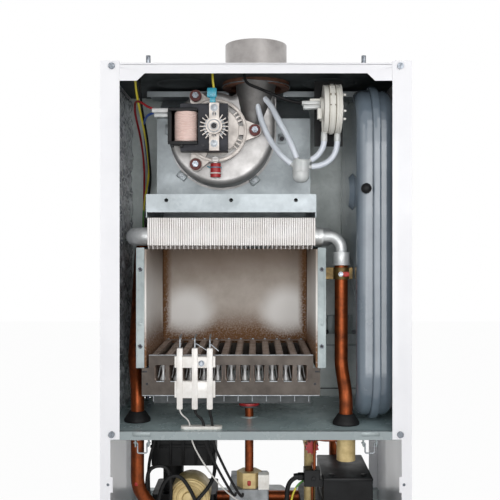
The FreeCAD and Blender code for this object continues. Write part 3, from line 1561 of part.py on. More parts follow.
pack = [pressed_plate(plate_groove, plates_y, plates_deep)]
plate_count = int(plates_deep / plate_pitch)
pack += [pressed_plate(0, plates_y + i * plate_pitch, plate_edge) for i in range(plate_count)]
nodes["plate_exchanger"] = join(pack)
return_y = behind(return_back)
return_z = shelf_under - return_drop
elbow_body_low = return_z - elbow_under
cross_y = block_low_y + cross_in
cross_upper = pump_low - cross_drop
nodes["lower_pipes"] = Part.makeCompound([
    along_x(block_right, base_left, cross_y, cross_upper, cross_r),
    along_x(block_right, base_left, cross_y, cross_upper - cross_step, cross_r),
    route([
        V(right_low_x, right_low_y + elbow_body_r, return_z),
        V(right_low_x, return_y, return_z),
        V(right_low_x, return_y, pump_low),
    ], riser_r, return_bend),
    route([
        V(right_low_x - elbow_body_r, right_low_y, elbow_body_low + capillary_rise),
        V(right_low_x - elbow_body_r - capillary_out, right_low_y, elbow_body_low + capillary_rise),
        V(capillary_x, behind(capillary_front), elbow_body_low + capillary_rise),
        V(capillary_x, behind(capillary_front), din_top + capillary_over),
        V(capillary_x, din_y0 + din_deep + capillary_behind, din_top + capillary_over),
        V(capillary_x, din_y0 + din_deep + capillary_behind, pump_low),
    ], capillary_r, capillary_bend),
])

# Brass fittings: elbow under the right riser, round valve body, safety valve.
safety_y = behind(safety_front)
safety_z = shelf_under - safety_drop
stem_y = behind(safety_stem_back)
nodes["brass_fittings"] = Part.makeCompound([
    gas_nut,
    join([
        along_z(right_low_x, right_low_y, elbow_body_low, right_end, elbow_body_r),
        along_y(right_low_x, right_low_y, right_low_y + elbow_body_r, return_z, riser_r),
    ]),
    along_y(block_left + brass_in, behind(brass_front), block_low_y, block_low_top + brass_rise, brass_r),
    join([
        along_y(safety_x, safety_y, safety_y + safety_long, safety_z, safety_body_r),
        along_z(safety_x, stem_y, pump_low, safety_z, safety_stem_r),
        along_y(safety_x, behind(knob_front) + knob_r, safety_y, safety_z, knob_stem_r),
    ]),
])
knob = along_y(safety_x, behind(knob_front), safety_y - knob_gap, safety_z, knob_r)
knob = knob.cut(along_y(safety_x, behind(knob_front) + knob_r - knob_gap, safety_y, safety_z,
                        knob_stem_r + knob_gap))
for i in range(knob_flat_count):
    turn = 2 * math.pi * i / knob_flat_count
    knob = knob.cut(along_y(safety_x + knob_r * math.cos(turn), behind(knob_front), safety_y - knob_gap,
                            safety_z + knob_r * math.sin(turn), knob_cut_r))
nodes["safety_knob"] = knob

# Leads: fan loom down the left rear corner, switch pair, earth lead, pump cable.
def lay(start, turns, end):
    return [start] + [start + V(*turn) for turn in turns] + end


radii.clear()
leads = []
for i in range(2):
    side = 2 * i - 1
    start = V(reach_left, leg_y + side * lead_spread, coil_top + bobbin_flange / 2)
    x = loom_x + side * loom_pitch
    high = start.z - fan_lead_fall
    step = (high - shelf_under + loom_tail) / (len(loom_sway) - 1)
    down = [V(x + sway[0], loom_y + sway[1], high - k * step) for k, sway in enumerate(loom_sway)]
    pairs = zip(fan_lead_shares[i], fan_lead_turns[i])
    turns = [(share * (x - start.x), turn[0], turn[1]) for share, turn in pairs]
    leads.append(route(lay(start, turns, down), loom_r))
for i in range(2):
    start = V(roof_lead_in[i] - width / 2, behind(roof_lead_back[i]), roof_under)
    x = loom_x + (2 * i - 1) * loom_pitch / 2
    y = loom_y - roof_lead_ahead
    high = start.z - roof_lead_fall
    step = (high - shelf_under + loom_tail) / (len(loom_sway) - 1)
    down = [V(x - sway[0], y + sway[1], high - k * step) for k, sway in enumerate(loom_sway)]
    leads.append(route(lay(start, roof_lead_turns[i], down), loom_r))
for side in (-1, 1):
    start = V(terminal_x - terminal_long, switch_y + side * loom_r * 1.5, switch_z + terminal_up)
    last = start + V(*switch_lead_turns[-1])
    leads.append(route(lay(start, switch_lead_turns, [V(last.x, last.y, roof_under)]), loom_r))
start = V(fan_x, (bridge_y + bridge_end) / 2, fan_z + stator_up)
last = start + V(*earth_lead_turns[-1])
leads.append(route(lay(start, earth_lead_turns, [V(last.x, last.y, roof_under)]), loom_r))
tell("wiring_loom", loom_r)
start = V(din_left, din_y0 + din_deep / 2, (din_low + din_top) / 2)
cable_end = V(gas_x + valve_half, start.y, valve_top - cable_end_drop)
leads.append(route([
    start,
    V(start.x - cable_out, start.y, start.z),
    V(start.x - cable_out, start.y, cable_end.z),
    cable_end,
], cable_r))
tell("pump cable", cable_r)
nodes["wiring_loom"] = Part.makeCompound(leads)

os.makedirs("parts", exist_ok=True)
for name, shape in nodes.items():
    placed = shape.copy()
    placed.translate(V(0, 0, -hook_height))
    placed.exportStep("parts/" + name + ".step")
print(len(nodes), "nodes")
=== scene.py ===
import math

import bmesh
import bpy
from mathutils import Matrix, Vector, noise


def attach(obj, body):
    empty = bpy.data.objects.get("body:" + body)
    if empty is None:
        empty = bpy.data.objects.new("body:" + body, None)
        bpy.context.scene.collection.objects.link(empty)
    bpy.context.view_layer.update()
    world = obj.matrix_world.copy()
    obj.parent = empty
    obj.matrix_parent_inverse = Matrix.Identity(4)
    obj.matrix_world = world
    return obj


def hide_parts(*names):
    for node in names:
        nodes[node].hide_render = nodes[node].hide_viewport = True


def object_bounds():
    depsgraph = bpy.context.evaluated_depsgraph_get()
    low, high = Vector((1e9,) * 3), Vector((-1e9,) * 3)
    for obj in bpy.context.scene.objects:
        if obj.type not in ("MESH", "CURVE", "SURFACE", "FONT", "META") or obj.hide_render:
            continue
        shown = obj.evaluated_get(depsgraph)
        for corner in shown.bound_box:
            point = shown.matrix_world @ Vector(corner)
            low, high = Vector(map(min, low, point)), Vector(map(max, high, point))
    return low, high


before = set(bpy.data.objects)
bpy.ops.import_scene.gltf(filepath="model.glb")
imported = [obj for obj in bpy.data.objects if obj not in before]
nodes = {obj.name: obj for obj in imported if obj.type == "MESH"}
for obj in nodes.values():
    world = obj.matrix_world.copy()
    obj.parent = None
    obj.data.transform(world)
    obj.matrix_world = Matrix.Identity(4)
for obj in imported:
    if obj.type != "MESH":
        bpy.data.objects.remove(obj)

cadBox = [list(corner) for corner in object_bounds()]
print("stage: frame loaded,", len(nodes), "nodes")

# part frame: Z zero is the hook row, so heights above the casing's bottom edge drop by this much
casing = dict(hookHeight=660.0, frontMm=-280.0)
acrossAxis, depthAxis, upAxis = (1, 0, 0), (0, 1, 0), (0, 0, 1)


def at(x, back, z):  # mm from the centre line, behind the front flange, above the casing's bottom edge
    return Vector((x / 1000, (casing["frontMm"] + back) / 1000, (z - casing["hookHeight"]) / 1000))


def about(middle, half):  # the limits either side of a middle
    return (middle - half, middle + half)


def linear(code):  # sRGB hex to linear RGBA
    parts = [int(code[i:i + 2], 16) / 255 for i in (0, 2, 4)]
    return [p / 12.92 if p <= 0.04045 else ((p + 0.055) / 1.055) ** 2.4 for p in parts] + [1.0]


def addNode(tree, kind, links=None, **settings):  # one node, its sockets or attributes, its incoming links
    node = tree.nodes.new("ShaderNode" + kind)
    for key, value in settings.items():
        name = key.replace("_", " ")
        if name in node.inputs:
            node.inputs[name].default_value = value
        else:
            setattr(node, key, value)
    for key, source in (links or {}).items():
        tree.links.new(source, node.inputs[key])
    return node


def skin(colour, shade, rough, grainMm, stainMm, bump, **more):  # a finish; more holds what few have
    return dict(colour=colour, shade=shade, rough=rough, grainMm=grainMm, stainMm=stainMm, bump=bump, **more)


# Each finish: what the metal or plastic is, how it was made, and the real size of its pattern in mm.
finishes = {
    # stove enamel on steel: even white, faint orange peel, a grey bloom where hands and dust reach it
    "stoveEnamel": skin("EFEFF2", "E6E6EA", (0.28, 0.42), 1.6, 120, 0.04, coat=0.3),
    # hot-dip galvanised sheet: small spangle, dull grey stains
    "galvanised": skin("B4BCBD", "98A1A2", (0.34, 0.5), 0.9, 70, 0.03, metallic=0.5, spangleMm=6),
    # the same sheet folded into the hood, darkened part way as painted shade for the box under the roof
    "paleZinc": skin("A5ACB0", "90979A", (0.32, 0.48), 0.9, 60, 0.03, metallic=0.4, spangleMm=5),
    # chamber sheet: the same zinc, dulled by the heat behind it
    "dullZinc": skin("98A1A2", "7E8788", (0.36, 0.52), 0.9, 60, 0.03, metallic=0.4, spangleMm=6),
    # the casing's back, years in warm air: less metal, more bloom
    "agedSheet": skin("CCD3D2", "AEB7B5", (0.36, 0.54), 1.1, 75, 0.04, metallic=0.15, spangleMm=7),
    # shelf: bright rolled sheet with streaks along the rolling, its front 3 to 12 mm painted darker
    "rolledSheet": skin("C4D9DB", "9FB5B8", (0.2, 0.32), 8, 40, 0.005, metallic=0.1, squeeze=(6, 1, 1),
                        handled="8F999B", edgeMm=(3, 12)),
    # deep-drawn steel scroll: warm grey, fine drawing marks
    "drawnSteel": skin("BDBBBA", "8E8C8A", (0.42, 0.56), 0.8, 38, 0.03, metallic=0.7),
    # the neck of the scroll: the same steel, painted darker as the shade under the roof
    "heatedSteel": skin("7F7E7D", "605D5B", (0.42, 0.56), 0.8, 30, 0.03, metallic=0.7),
    # stainless collar: faint turning lines round it
    "polishedStainless": skin("ADA9A7", "8E8A88", (0.3, 0.42), 0.9, 30, 0.02, metallic=0.9, squeeze=(1, 1, 8)),
    # die-cast aluminium: pale, matt, sandy skin
    "dieCast": skin("D2CBC5", "AEA7A1", (0.42, 0.6), 0.7, 14, 0.06, metallic=0.45),
    # lamination stack: oiled dark steel, sheet edges drawn coarse at 1 mm so that they show
    "laminations": skin("2A2B32", "18191D", (0.4, 0.6), 0.8, 18, 0.05, metallic=0.15, layerMm=1.0, shine=0.3),
    # zinc-plated steel: bright, slightly blue
    "zincPlate": skin("A3A7AB", "757A7F", (0.34, 0.5), 0.8, 6, 0.02, metallic=0.8),
    # zinc screws, greyer and sharper than the sheet
    "boltZinc": skin("8B9097", "4A4F55", (0.18, 0.32), 0.7, 3, 0.03, metallic=0.9),
    # black phosphated screws, and the black of holes, slots and a fold as painted shade
    "blackSteel": skin("26262A", "151517", (0.35, 0.55), 0.7, 5, 0.02, metallic=0.5),
    # black glass-filled nylon: satin with a fine spark texture
    "blackNylon": skin("101113", "080809", (0.4, 0.58), 0.6, 25, 0.05, shine=0.25),
    # EPDM rubber: near black with grey dust
    "blackRubber": skin("171718", "0D0D0E", (0.5, 0.7), 0.9, 12, 0.05, shine=0.25),
    # red-brown rubber mounts
    "brownRubber": skin("6B2F2B", "4A201D", (0.5, 0.68), 0.8, 6, 0.04),
    # brown silicone gasket, faded by heat
    "siliconeGasket": skin("6F4A38", "4B3026", (0.5, 0.7), 1.2, 12, 0.05),
    # polypropylene caps and knobs in red
    "redPlastic": skin("B3262A", "8C1A1E", (0.3, 0.45), 0.8, 9, 0.02),
    # tamper-proof paint dabbed on the joints
    "redPaint": skin("B22A22", "7E1B16", (0.4, 0.6), 0.9, 3, 0.06),
    # white nylon plugs and grommets
    "whiteNylon": skin("EAE8E3", "D2CEC6", (0.35, 0.5), 0.8, 10, 0.02),
    # beige PBT switch housing: satin moulding
    "beigeMoulding": skin("E6E4DD", "D3D0C7", (0.36, 0.5), 0.7, 20, 0.03),
    # aluminised fins: bright edges, faint heat tint
    "finMetal": skin("F8F5F3", "E6E0DB", (0.32, 0.48), 1.0, 24, 0.02),
    # tin-dipped copper tube: soft silver
    "tinnedTube": skin("D6D8D8", "AEB1B2", (0.28, 0.44), 1.0, 16, 0.02, metallic=0.4),
    # glazed alumina insulators
    "ceramic": skin("EFECE8", "D8D2CB", (0.18, 0.34), 1.0, 14, 0.01, coat=0.4),
    # copper tube: drawn bright, then browned and blotched by flux and water
    "copperTube": skin("8A421C", "44200D", (0.32, 0.5), 1.2, 13, 0.03, metallic=0.75),
    # turned and forged brass
    "brass": skin("BFA061", "8A7041", (0.28, 0.46), 0.9, 12, 0.03, metallic=0.85),
    # yellow passivated spring steel
    "passivated": skin("6E5930", "3C301B", (0.34, 0.5), 0.9, 7, 0.03, metallic=0.6),
    # vessel: blue-grey gloss paint over pressed steel
    "vesselGloss": skin("6F7B86", "5B6772", (0.16, 0.3), 2.2, 80, 0.02, coat=0.5),
    # grey zamak casting of the gas valve
    "valveCasting": skin("8F9294", "6D7072", (0.42, 0.6), 0.8, 15, 0.05, metallic=0.5),
    # glass-filled composite of the pump and water block
    "composite": skin("101113", "080809", (0.4, 0.6), 1.0, 24, 0.04, shine=0.2),
    # burner steel: stainless gone dark brown in the flame
    "burnerSteel": skin("4C453F", "332C27", (0.36, 0.52), 0.9, 26, 0.04, metallic=0.5),
    # flame strips on the blades: scaled brown
    "flameStrip": skin("9C8B80", "6C5A4E", (0.45, 0.65), 1.0, 14, 0.05, metallic=0.35),
    # aluminium foil: painted glints on bright creases, facets painted dark as shaded reflection
    "foil": skin("F6F9FD", "303846", (0.14, 0.3), 2.0, 22, 0.08, metallic=0.25, crinkleMm=11),
    # polyester tape and enamelled wire of the winding: pale pink
    "windingTape": skin("F0D8D0", "E3C6BC", (0.3, 0.46), 0.7, 12, 0.02),
    # silicone hose: milky, lets light through
    "clearSilicone": skin("EAEFF7", "DEE5F0", (0.14, 0.24), 2.4, 40, 0.01, clear=0.2, coat=0.3),
    # clear PVC sleeves and the polypropylene water trap
    "clearPlastic": skin("EFF1F0", "E0E4E4", (0.1, 0.2), 2.2, 30, 0.01, clear=0.4, coat=0.3),
    # blue-green PVC boot
    "cyanSleeve": skin("4CC3DC", "2F9AB8", (0.2, 0.34), 0.9, 6, 0.02, clear=0.35),
    # PVC insulated leads
    "redLead": skin("A32329", "7C181E", (0.35, 0.5), 0.8, 14, 0.02),
    "blueLead": skin("2F55A4", "20407F", (0.35, 0.5), 0.8, 14, 0.02),
    "whiteLead": skin("DAD8D4", "BDBAB5", (0.35, 0.5), 0.8, 14, 0.02),
    "earthLead": skin("CFC03A", "4E8A3C", (0.35, 0.5), 0.8, 8, 0.02, twistMm=7),
    # ceramic fibre board: grey-beige, scoured pale by the end flames, sooted over the burner and in the corners;
    # its top painted darker as shade, its side boards painted paler as light
    "fibreBoard": skin("CBC2B9", "AEA399", (0.75, 0.9), 2.4, 45, 0.12, soot="75502F", smoke="857466",
                       scoured="FAF8F5"),
    # inside of the roof: grey primer, painted dark as the roof's shade
    "primer": skin("3E4446", "2C3132", (0.5, 0.7), 1.2, 60, 0.03),
    # painted shade in the grooves and window outlines of a moulding
    "grooveDirt": skin("8F897C", "6F695E", (0.6, 0.8), 0.7, 9, 0.03),
    # painted steel manifold under the burner
    "manifoldPaint": skin("4B5052", "343839", (0.4, 0.55), 0.9, 12, 0.03),
    # cream brass-bodied diverter, dulled by water
    "dullBrass": skin("D2BC88", "A8905E", (0.4, 0.56), 0.9, 14, 0.03, metallic=0.2),
}
# how every pattern is drawn: noise detail, the ranges that are stretched, shares
pattern = dict(
    stainDetail=6.0, stainRough=0.62, stainRange=(0.36, 0.74), grainDetail=2.0, spangleShare=0.3,
    foldRange=(0.02, 0.13), layerWarp=0.4, waveLength=20, twistRange=(0.55, 0.65), speckRange=(0.3, 0.62),
    speckShare=(0.7, 1.2), roughRange=(0.3, 0.7), bumpGain=6)
# marks of the fire on the boards, with the painted shade at the top and the painted light on the side boards,
# places and sizes in mm
soot = dict(
    patches=((-108, 357), (49, 358)), patchMm=55, coreMm=20, patchLiftMm=22, band=(318, 374), smoke=(385, 462),
    smokeShare=0.9, corner=(98, 108), flankShare=0.75, centreMm=-33, backMm=220, deep=(211, 218))
made = {}


def makeFinish(name):
    if name in made:
        return made[name]
    f = finishes[name]
    mat = bpy.data.materials.new(name)
    mat.use_nodes = True
    tree = mat.node_tree
    shader = tree.nodes["Principled BSDF"]

    def ramp(value, low, high, start=0.0, end=1.0, smooth=False):  # a range stretched to another
        return addNode(tree, "MapRange", {"Value": value}, interpolation_type="SMOOTHSTEP" if smooth else "LINEAR",
                       From_Min=low, From_Max=high, To_Min=start, To_Max=end).outputs["Result"]

    def calc(operation, *terms, clamp=False):  # terms are sockets or numbers
        node = addNode(tree, "Math", operation=operation, use_clamp=clamp)
        for socket, term in zip(node.inputs, terms):
            if isinstance(term, (int, float)):
                socket.default_value = term
            else:
                tree.links.new(term, socket)
        return node.outputs[0]

    def tint(base, code, share):  # a colour code mixed over a socket or another code
        node = addNode(tree, "Mix", {"Factor": share}, data_type="RGBA")
        if isinstance(base, str):
            node.inputs[6].default_value = linear(base)
        else:
            tree.links.new(base, node.inputs[6])
        node.inputs[7].default_value = linear(code)
        return node.outputs[2]

    def axes():
        return addNode(tree, "SeparateXYZ", {"Vector": where}).outputs

    where = addNode(tree, "TexCoord").outputs["Object"]
    stain = addNode(tree, "TexNoise", {"Vector": where}, Scale=1000 / f["stainMm"], Detail=pattern["stainDetail"],
                    Roughness=pattern["stainRough"]).outputs
    amount = ramp(stain["Fac"], *pattern["stainRange"])
    squeezed = addNode(tree, "Mapping", {"Vector": where}, Scale=f.get("squeeze", (1, 1, 1))).outputs["Vector"]
    grain = addNode(tree, "TexNoise", {"Vector": squeezed}, Scale=1000 / f["grainMm"],
                    Detail=pattern["grainDetail"]).outputs["Fac"]
    height = grain
    if "spangleMm" in f:  # zinc crystals, each a little lighter or darker
        cells = addNode(tree, "TexVoronoi", {"Vector": where}, Scale=1000 / f["spangleMm"])
        level = addNode(tree, "SeparateColor", {"Color": cells.outputs["Color"]}).outputs["Red"]
        amount = calc("MULTIPLY_ADD", level, pattern["spangleShare"], amount, clamp=True)
    if "crinkleMm" in f:  # painted glints: bright creases between facets painted dark as shaded reflection
        bent = addNode(tree, "VectorMath", {0: stain["Color"], 2: where}, operation="MULTIPLY_ADD")
        bent.inputs[1].default_value = [f["crinkleMm"] / 1000] * 3
        folds = addNode(tree, "TexVoronoi", {"Vector": bent.outputs[0]}, Scale=1000 / f["crinkleMm"],
                        feature="DISTANCE_TO_EDGE")
        amount = calc("MULTIPLY", amount, ramp(folds.outputs["Distance"], *pattern["foldRange"]))
    if "layerMm" in f:  # sheet edges stacked front to back
        height = addNode(tree, "TexWave", {"Vector": where}, bands_direction="Y", Distortion=pattern["layerWarp"],
                         Scale=1000 / f["layerMm"] / pattern["waveLength"]).outputs["Fac"]
    if "twistMm" in f:  # two colours wound round the lead
        twist = addNode(tree, "TexWave", {"Vector": where}, bands_direction="DIAGONAL",
                        Scale=1000 / f["twistMm"] / pattern["waveLength"])
        amount = ramp(twist.outputs["Fac"], *pattern["twistRange"])
    tone = tint(f["colour"], f["shade"], amount)
    if "handled" in f:  # the front edge, painted darker
        near, far = [at(0, back, 0).y for back in f["edgeMm"]]
        tone = tint(tone, f["handled"], ramp(axes()["Y"], far, near))
    if "soot" in f:  # brown band over the burner, brown corners, pale patches where the end flames scour the board; side boards painted paler as painted light
        place = axes()
        spots = []
        for x, z in soot["patches"]:
            gap = addNode(tree, "VectorMath", {0: where}, operation="DISTANCE")
            gap.inputs[1].default_value = at(x, soot["backMm"], z)
            spots.append(ramp(gap.outputs["Value"], soot["patchMm"] / 1000, soot["coreMm"] / 1000, smooth=True))
        pale = calc("MAXIMUM", *spots)
        low, high = [at(0, 0, z).z for z in soot["band"]]
        lifted = calc("MULTIPLY_ADD", pale, soot["patchLiftMm"] / 1000, place["Z"])
        band = ramp(lifted, low, high, 1.0, 0.0, smooth=True)
        aside = calc("ABSOLUTE", calc("SUBTRACT", place["X"], soot["centreMm"] / 1000))
        corner = ramp(aside, *[mm / 1000 for mm in soot["corner"]])
        edge = calc("MULTIPLY", corner, ramp(place["Y"], *[at(0, back, 0).y for back in soot["deep"]]))
        flank = calc("MULTIPLY", calc("SUBTRACT", corner, edge), soot["flankShare"])  # side boards painted paler: painted light
        tone = tint(tone, f["scoured"], calc("MAXIMUM", pale, flank))
        # the top painted darker towards the roof: painted shade
        low, high = [at(0, 0, z).z for z in soot["smoke"]]
        tone = tint(tone, f["smoke"], ramp(place["Z"], low, high, 0.0, soot["smokeShare"], smooth=True))
        speck = ramp(grain, *pattern["speckRange"], *pattern["speckShare"])
        tone = tint(tone, f["soot"], calc("MULTIPLY", calc("MAXIMUM", band, edge), speck, clamp=True))
    tree.links.new(tone, shader.inputs["Base Color"])
    tree.links.new(ramp(stain["Fac"], *pattern["roughRange"], *f["rough"]), shader.inputs["Roughness"])
    bump = addNode(tree, "Bump", {"Height": height}, Strength=min(1.0, f["bump"] * pattern["bumpGain"]),
                   Distance=f["bump"] / 1000)
    tree.links.new(bump.outputs["Normal"], shader.inputs["Normal"])
    for socket, key, usual in (("Metallic", "metallic", 0.0), ("Specular IOR Level", "shine", 0.5),
                               ("Coat Weight", "coat", 0.0), ("Transmission Weight", "clear", 0.0)):
        shader.inputs[socket].default_value = f.get(key, usual)
    made[name] = mat
    return mat


def show(name, data):  # a new object in the scene
    thing = bpy.data.objects.new(name, data)
    bpy.context.scene.collection.objects.link(thing)
    return thing


def newPiece(name, form, finish, body="chassis", standsFor=(), smooth=40):  # bmesh to a piece on a body
    bmesh.ops.recalc_face_normals(form, faces=form.faces)
    mesh = bpy.data.meshes.new(name)
    form.to_mesh(mesh)
    form.free()
    mesh.materials.append(makeFinish(finish))
    piece = show(name, mesh)
    mesh.shade_smooth()
    mesh.set_sharp_from_angle(angle=math.radians(smooth))
    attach(piece, body)
    for node in standsFor:
        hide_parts(node)
    return piece


def edgesOf(verts):
    return list({e for v in verts for e in v.link_edges})


def soften(form, edges, soft):  # edges rounded by soft mm
    bmesh.ops.bevel(form, geom=edges, offset=soft / 1000, segments=2, profile=0.5, affect="EDGES", material=-1,
                    clamp_overlap=True)


def addBlock(form, xs, backs, zs, soft=0.0, turn=0.0):  # a box between three pairs of mm limits
    fresh = bmesh.ops.create_cube(form, size=1.0)["verts"]
    spans = [xs[1] - xs[0], backs[1] - backs[0], zs[1] - zs[0]]
    bmesh.ops.scale(form, vec=[s / 1000 for s in spans], verts=fresh)
    if turn:
        bmesh.ops.rotate(form, matrix=Matrix.Rotation(math.radians(turn), 3, "Y"), verts=fresh)
    bmesh.ops.translate(form, vec=at(sum(xs) / 2, sum(backs) / 2, sum(zs) / 2), verts=fresh)
    if soft:
        soften(form, edgesOf(fresh), soft)


def addRod(form, start, end, radius, sides=20, soft=0.0):  # a bar between two mm points, or a cone of two radii
    a, b = at(*start), at(*end)
    first, last = radius if isinstance(radius, tuple) else (radius, radius)
    aim = Matrix.Translation((a + b) / 2) @ (b - a).to_track_quat("Z", "Y").to_matrix().to_4x4()
    fresh = bmesh.ops.create_cone(form, cap_ends=True, cap_tris=False, segments=sides, radius1=first / 1000,
                                  radius2=last / 1000, depth=(b - a).length, matrix=aim)["verts"]
    if soft:
        soften(form, [e for e in edgesOf(fresh) if any(len(f.verts) > 4 for f in e.link_faces)], soft)


def addPin(form, x, z, backs, radius, **more):  # a rod from front to back
    addRod(form, (x, backs[0], z), (x, backs[1], z), radius, **more)


def addLathe(form, centre, axis, profile, sides=32):  # (radius, along) pairs spun about an axis
    axis = Vector(axis).normalized()
    out = axis.orthogonal().normalized()
    verts = [form.verts.new(at(*centre) + out * (r / 1000) + axis * (along / 1000)) for r, along in profile]
    edges = [form.edges.new(pair) for pair in zip(verts, verts[1:])]
    bmesh.ops.spin(form, geom=verts + edges, cent=at(*centre), axis=axis, angle=math.tau, steps=sides,
                   use_merge=True)
    bmesh.ops.remove_doubles(form, verts=form.verts, dist=0.00001)


def addRing(form, centre, axis, radius, wire, sides=32, facets=10):  # a torus, its section a small circle
    axis = Vector(axis).normalized()
    out = axis.orthogonal().normalized()
    aim = axis.cross(out).to_track_quat("Z", "Y").to_matrix().to_4x4()
    fresh = bmesh.ops.create_circle(form, cap_ends=False, segments=facets, radius=wire / 1000,
                                    matrix=Matrix.Translation(at(*centre) + out * (radius / 1000)) @ aim)["verts"]
    bmesh.ops.spin(form, geom=fresh + edgesOf(fresh), cent=at(*centre), axis=axis, angle=math.tau, steps=sides,
                   use_merge=True)


# a screw head in shares of its radius and height
screwHead = dict(
    washerWide=1.25, washerTall=0.35, hexagonFoot=0.3, domeTip=0.82, domeTall=0.7, domeMiddle=0.65, slotHalf=0.14)


def addScrew(form, place, radius, height=2.0, hexagon=False):  # facing the front: hexagon, or two cheeks of a slot
    x, back, z = place
    addPin(form, x, z, (back, back - height * screwHead["washerTall"]), radius * screwHead["washerWide"])
    if hexagon:
        addPin(form, x, z, (back - height * screwHead["hexagonFoot"], back - height), radius, sides=6, soft=0.25)
        return
    for side in (-1, 1):
        middle = at(x, back - height * screwHead["domeMiddle"], z)
        aim = Matrix.Translation(middle) @ Matrix.Rotation(math.pi / 2, 4, "X")
        half = bmesh.ops.create_cone(form, cap_ends=True, cap_tris=False, segments=20, radius1=radius / 1000,
                                     radius2=radius * screwHead["domeTip"] / 1000,
                                     depth=height * screwHead["domeTall"] / 1000, matrix=aim)["verts"]
        geom = half + edgesOf(half) + list({f for v in half for f in v.link_faces})
        cut = at(x + side * radius * screwHead["slotHalf"], back, z)
        sliced = bmesh.ops.bisect_plane(form, geom=geom, plane_co=cut, plane_no=(-side, 0, 0), clear_outer=True,
                                        dist=0.000001)
        rim = [e for e in sliced["geom_cut"] if isinstance(e, bmesh.types.BMEdge)]
        bmesh.ops.holes_fill(form, edges=rim, sides=0)


def boxPiece(name, boxes, finish, soft=0.0):  # a piece of plain boxes
    form = bmesh.new()
    for xs, backs, zs in boxes:
        addBlock(form, xs, backs, zs, soft=soft)
    newPiece(name, form, finish)


def ringPiece(name, rings, finish, sides=32):  # a piece of level rings: centre, radius, wire
    form = bmesh.new()
    for centre, radius, wire in rings:
        addRing(form, centre, upAxis, radius, wire, sides=sides)
    newPiece(name, form, finish)


# which finish each carried-over CAD node wears, and the width of its broken edges in mm
dress = {
    "side_panel_left": ("stoveEnamel", 0), "side_panel_right": ("stoveEnamel", 0),
    "top_panel": ("stoveEnamel", 0.4), "back_plate": ("agedSheet", 0), "chamber_shelf": ("rolledSheet", 0.3),
    "wall_rail": ("galvanised", 0.4), "bottom_rail": ("galvanised", 0.4), "connection_tails": ("brass", 0.5),
    "casing_screws": ("boltZinc", 0.5), "flue_collar": ("polishedStainless", 0.4),
    "collar_gasket": ("siliconeGasket", 0.8), "fan_volute": ("drawnSteel", 0), "drain_cap": ("redPlastic", 0.9),
    "motor_plate": ("dieCast", 0.7), "motor_grommets": ("brownRubber", 0.9), "motor_stator": ("laminations", 0.3),
    "coil_bobbin": ("blackNylon", 0.3), "bearing_bridge": ("dieCast", 0.4), "fan_shaft": ("zincPlate", 0.3),
    "fan_impeller": ("galvanised", 0), "cooling_wheel": ("whiteNylon", 0.2),
    "pressure_switch": ("beigeMoulding", 0.8), "switch_bracket": ("blackNylon", 0.3),
    "condensate_cup": ("clearPlastic", 0.8), "flue_hood": ("paleZinc", 0), "exchanger_tubes": ("tinnedTube", 0),
    "flow_elbow": ("tinnedTube", 0.5), "combustion_chamber": ("dullZinc", 0.3),
    "insulation_boards": ("fibreBoard", 0.5), "burner_tray": ("burnerSteel", 0.2),
    "burner_blades": ("flameStrip", 0.2), "gas_manifold": ("manifoldPaint", 0.5),
    "electrode_block": ("ceramic", 0.6), "electrodes": ("zincPlate", 0), "lead_grommet": ("whiteNylon", 0.5),
    "riser_right": ("copperTube", 0), "riser_left": ("copperTube", 0), "pipe_boots": ("blackRubber", 0.6),
    "pipe_clip": ("passivated", 0.3), "vessel_rim": ("vesselGloss", 2.4), "vessel_shells": ("vesselGloss", 0),
    "vessel_cap": ("blackNylon", 0.8), "wire_clip_left": ("zincPlate", 0), "wire_clip_right": ("zincPlate", 0),
    "gas_pipe": ("copperTube", 0), "gas_valve": ("valveCasting", 1.2), "pump_head": ("composite", 0),
    "pump_plug": ("blackNylon", 1.0), "pump_base": ("composite", 2.0), "hydraulic_block": ("composite", 3.0),
    "plate_exchanger": ("tinnedTube", 0.3), "lower_pipes": ("copperTube", 0), "brass_fittings": ("dullBrass", 0.8),
    "safety_knob": ("redPlastic", 0.5),
}
for name, (finish, edge) in dress.items():
    node = nodes[name]
    node.data.materials.clear()
    node.data.materials.append(makeFinish(finish))
    if edge:
        weld = node.modifiers.new("weld", "WELD")
        weld.merge_threshold = 0.00002
        bevel = node.modifiers.new("edges", "BEVEL")
        bevel.width = edge / 1000
        bevel.segments = 2
        bevel.limit_method = "ANGLE"
        bevel.angle_limit = math.radians(40)
        bevel.use_clamp_overlap = True
print("stage: CAD nodes dressed")

# hoses and leads: one spline each, its points (x, back, z in mm) the CAD route's own where the CAD has the lead
fanDown = [(-177.2, 228.2, 493.8), (-179.4, 229.6, 437.6), (-177.6, 230, 381.4), (-179.6, 228.4, 325.2),
           (-177.4, 229.8, 269), (-178.4, 229, 212.8)]
roofDown = [(-177.4, 223.2, 475.7), (-175.2, 224.6, 423.1), (-177, 225, 370.5), (-175, 223.4, 318),
            (-177.2, 224.8, 265.4), (-176.2, 224, 212.8)]


def beside(route, gap):  # the same route, further right
    return [(x + gap, back, z) for x, back, z in route]


def switchRoute(back):
    places = ((73, 656), (54, 656), (28, 666), (4, 676.5), (-16, 684), (-16, 696.3))
    return [(x, back, z) for x, z in places]


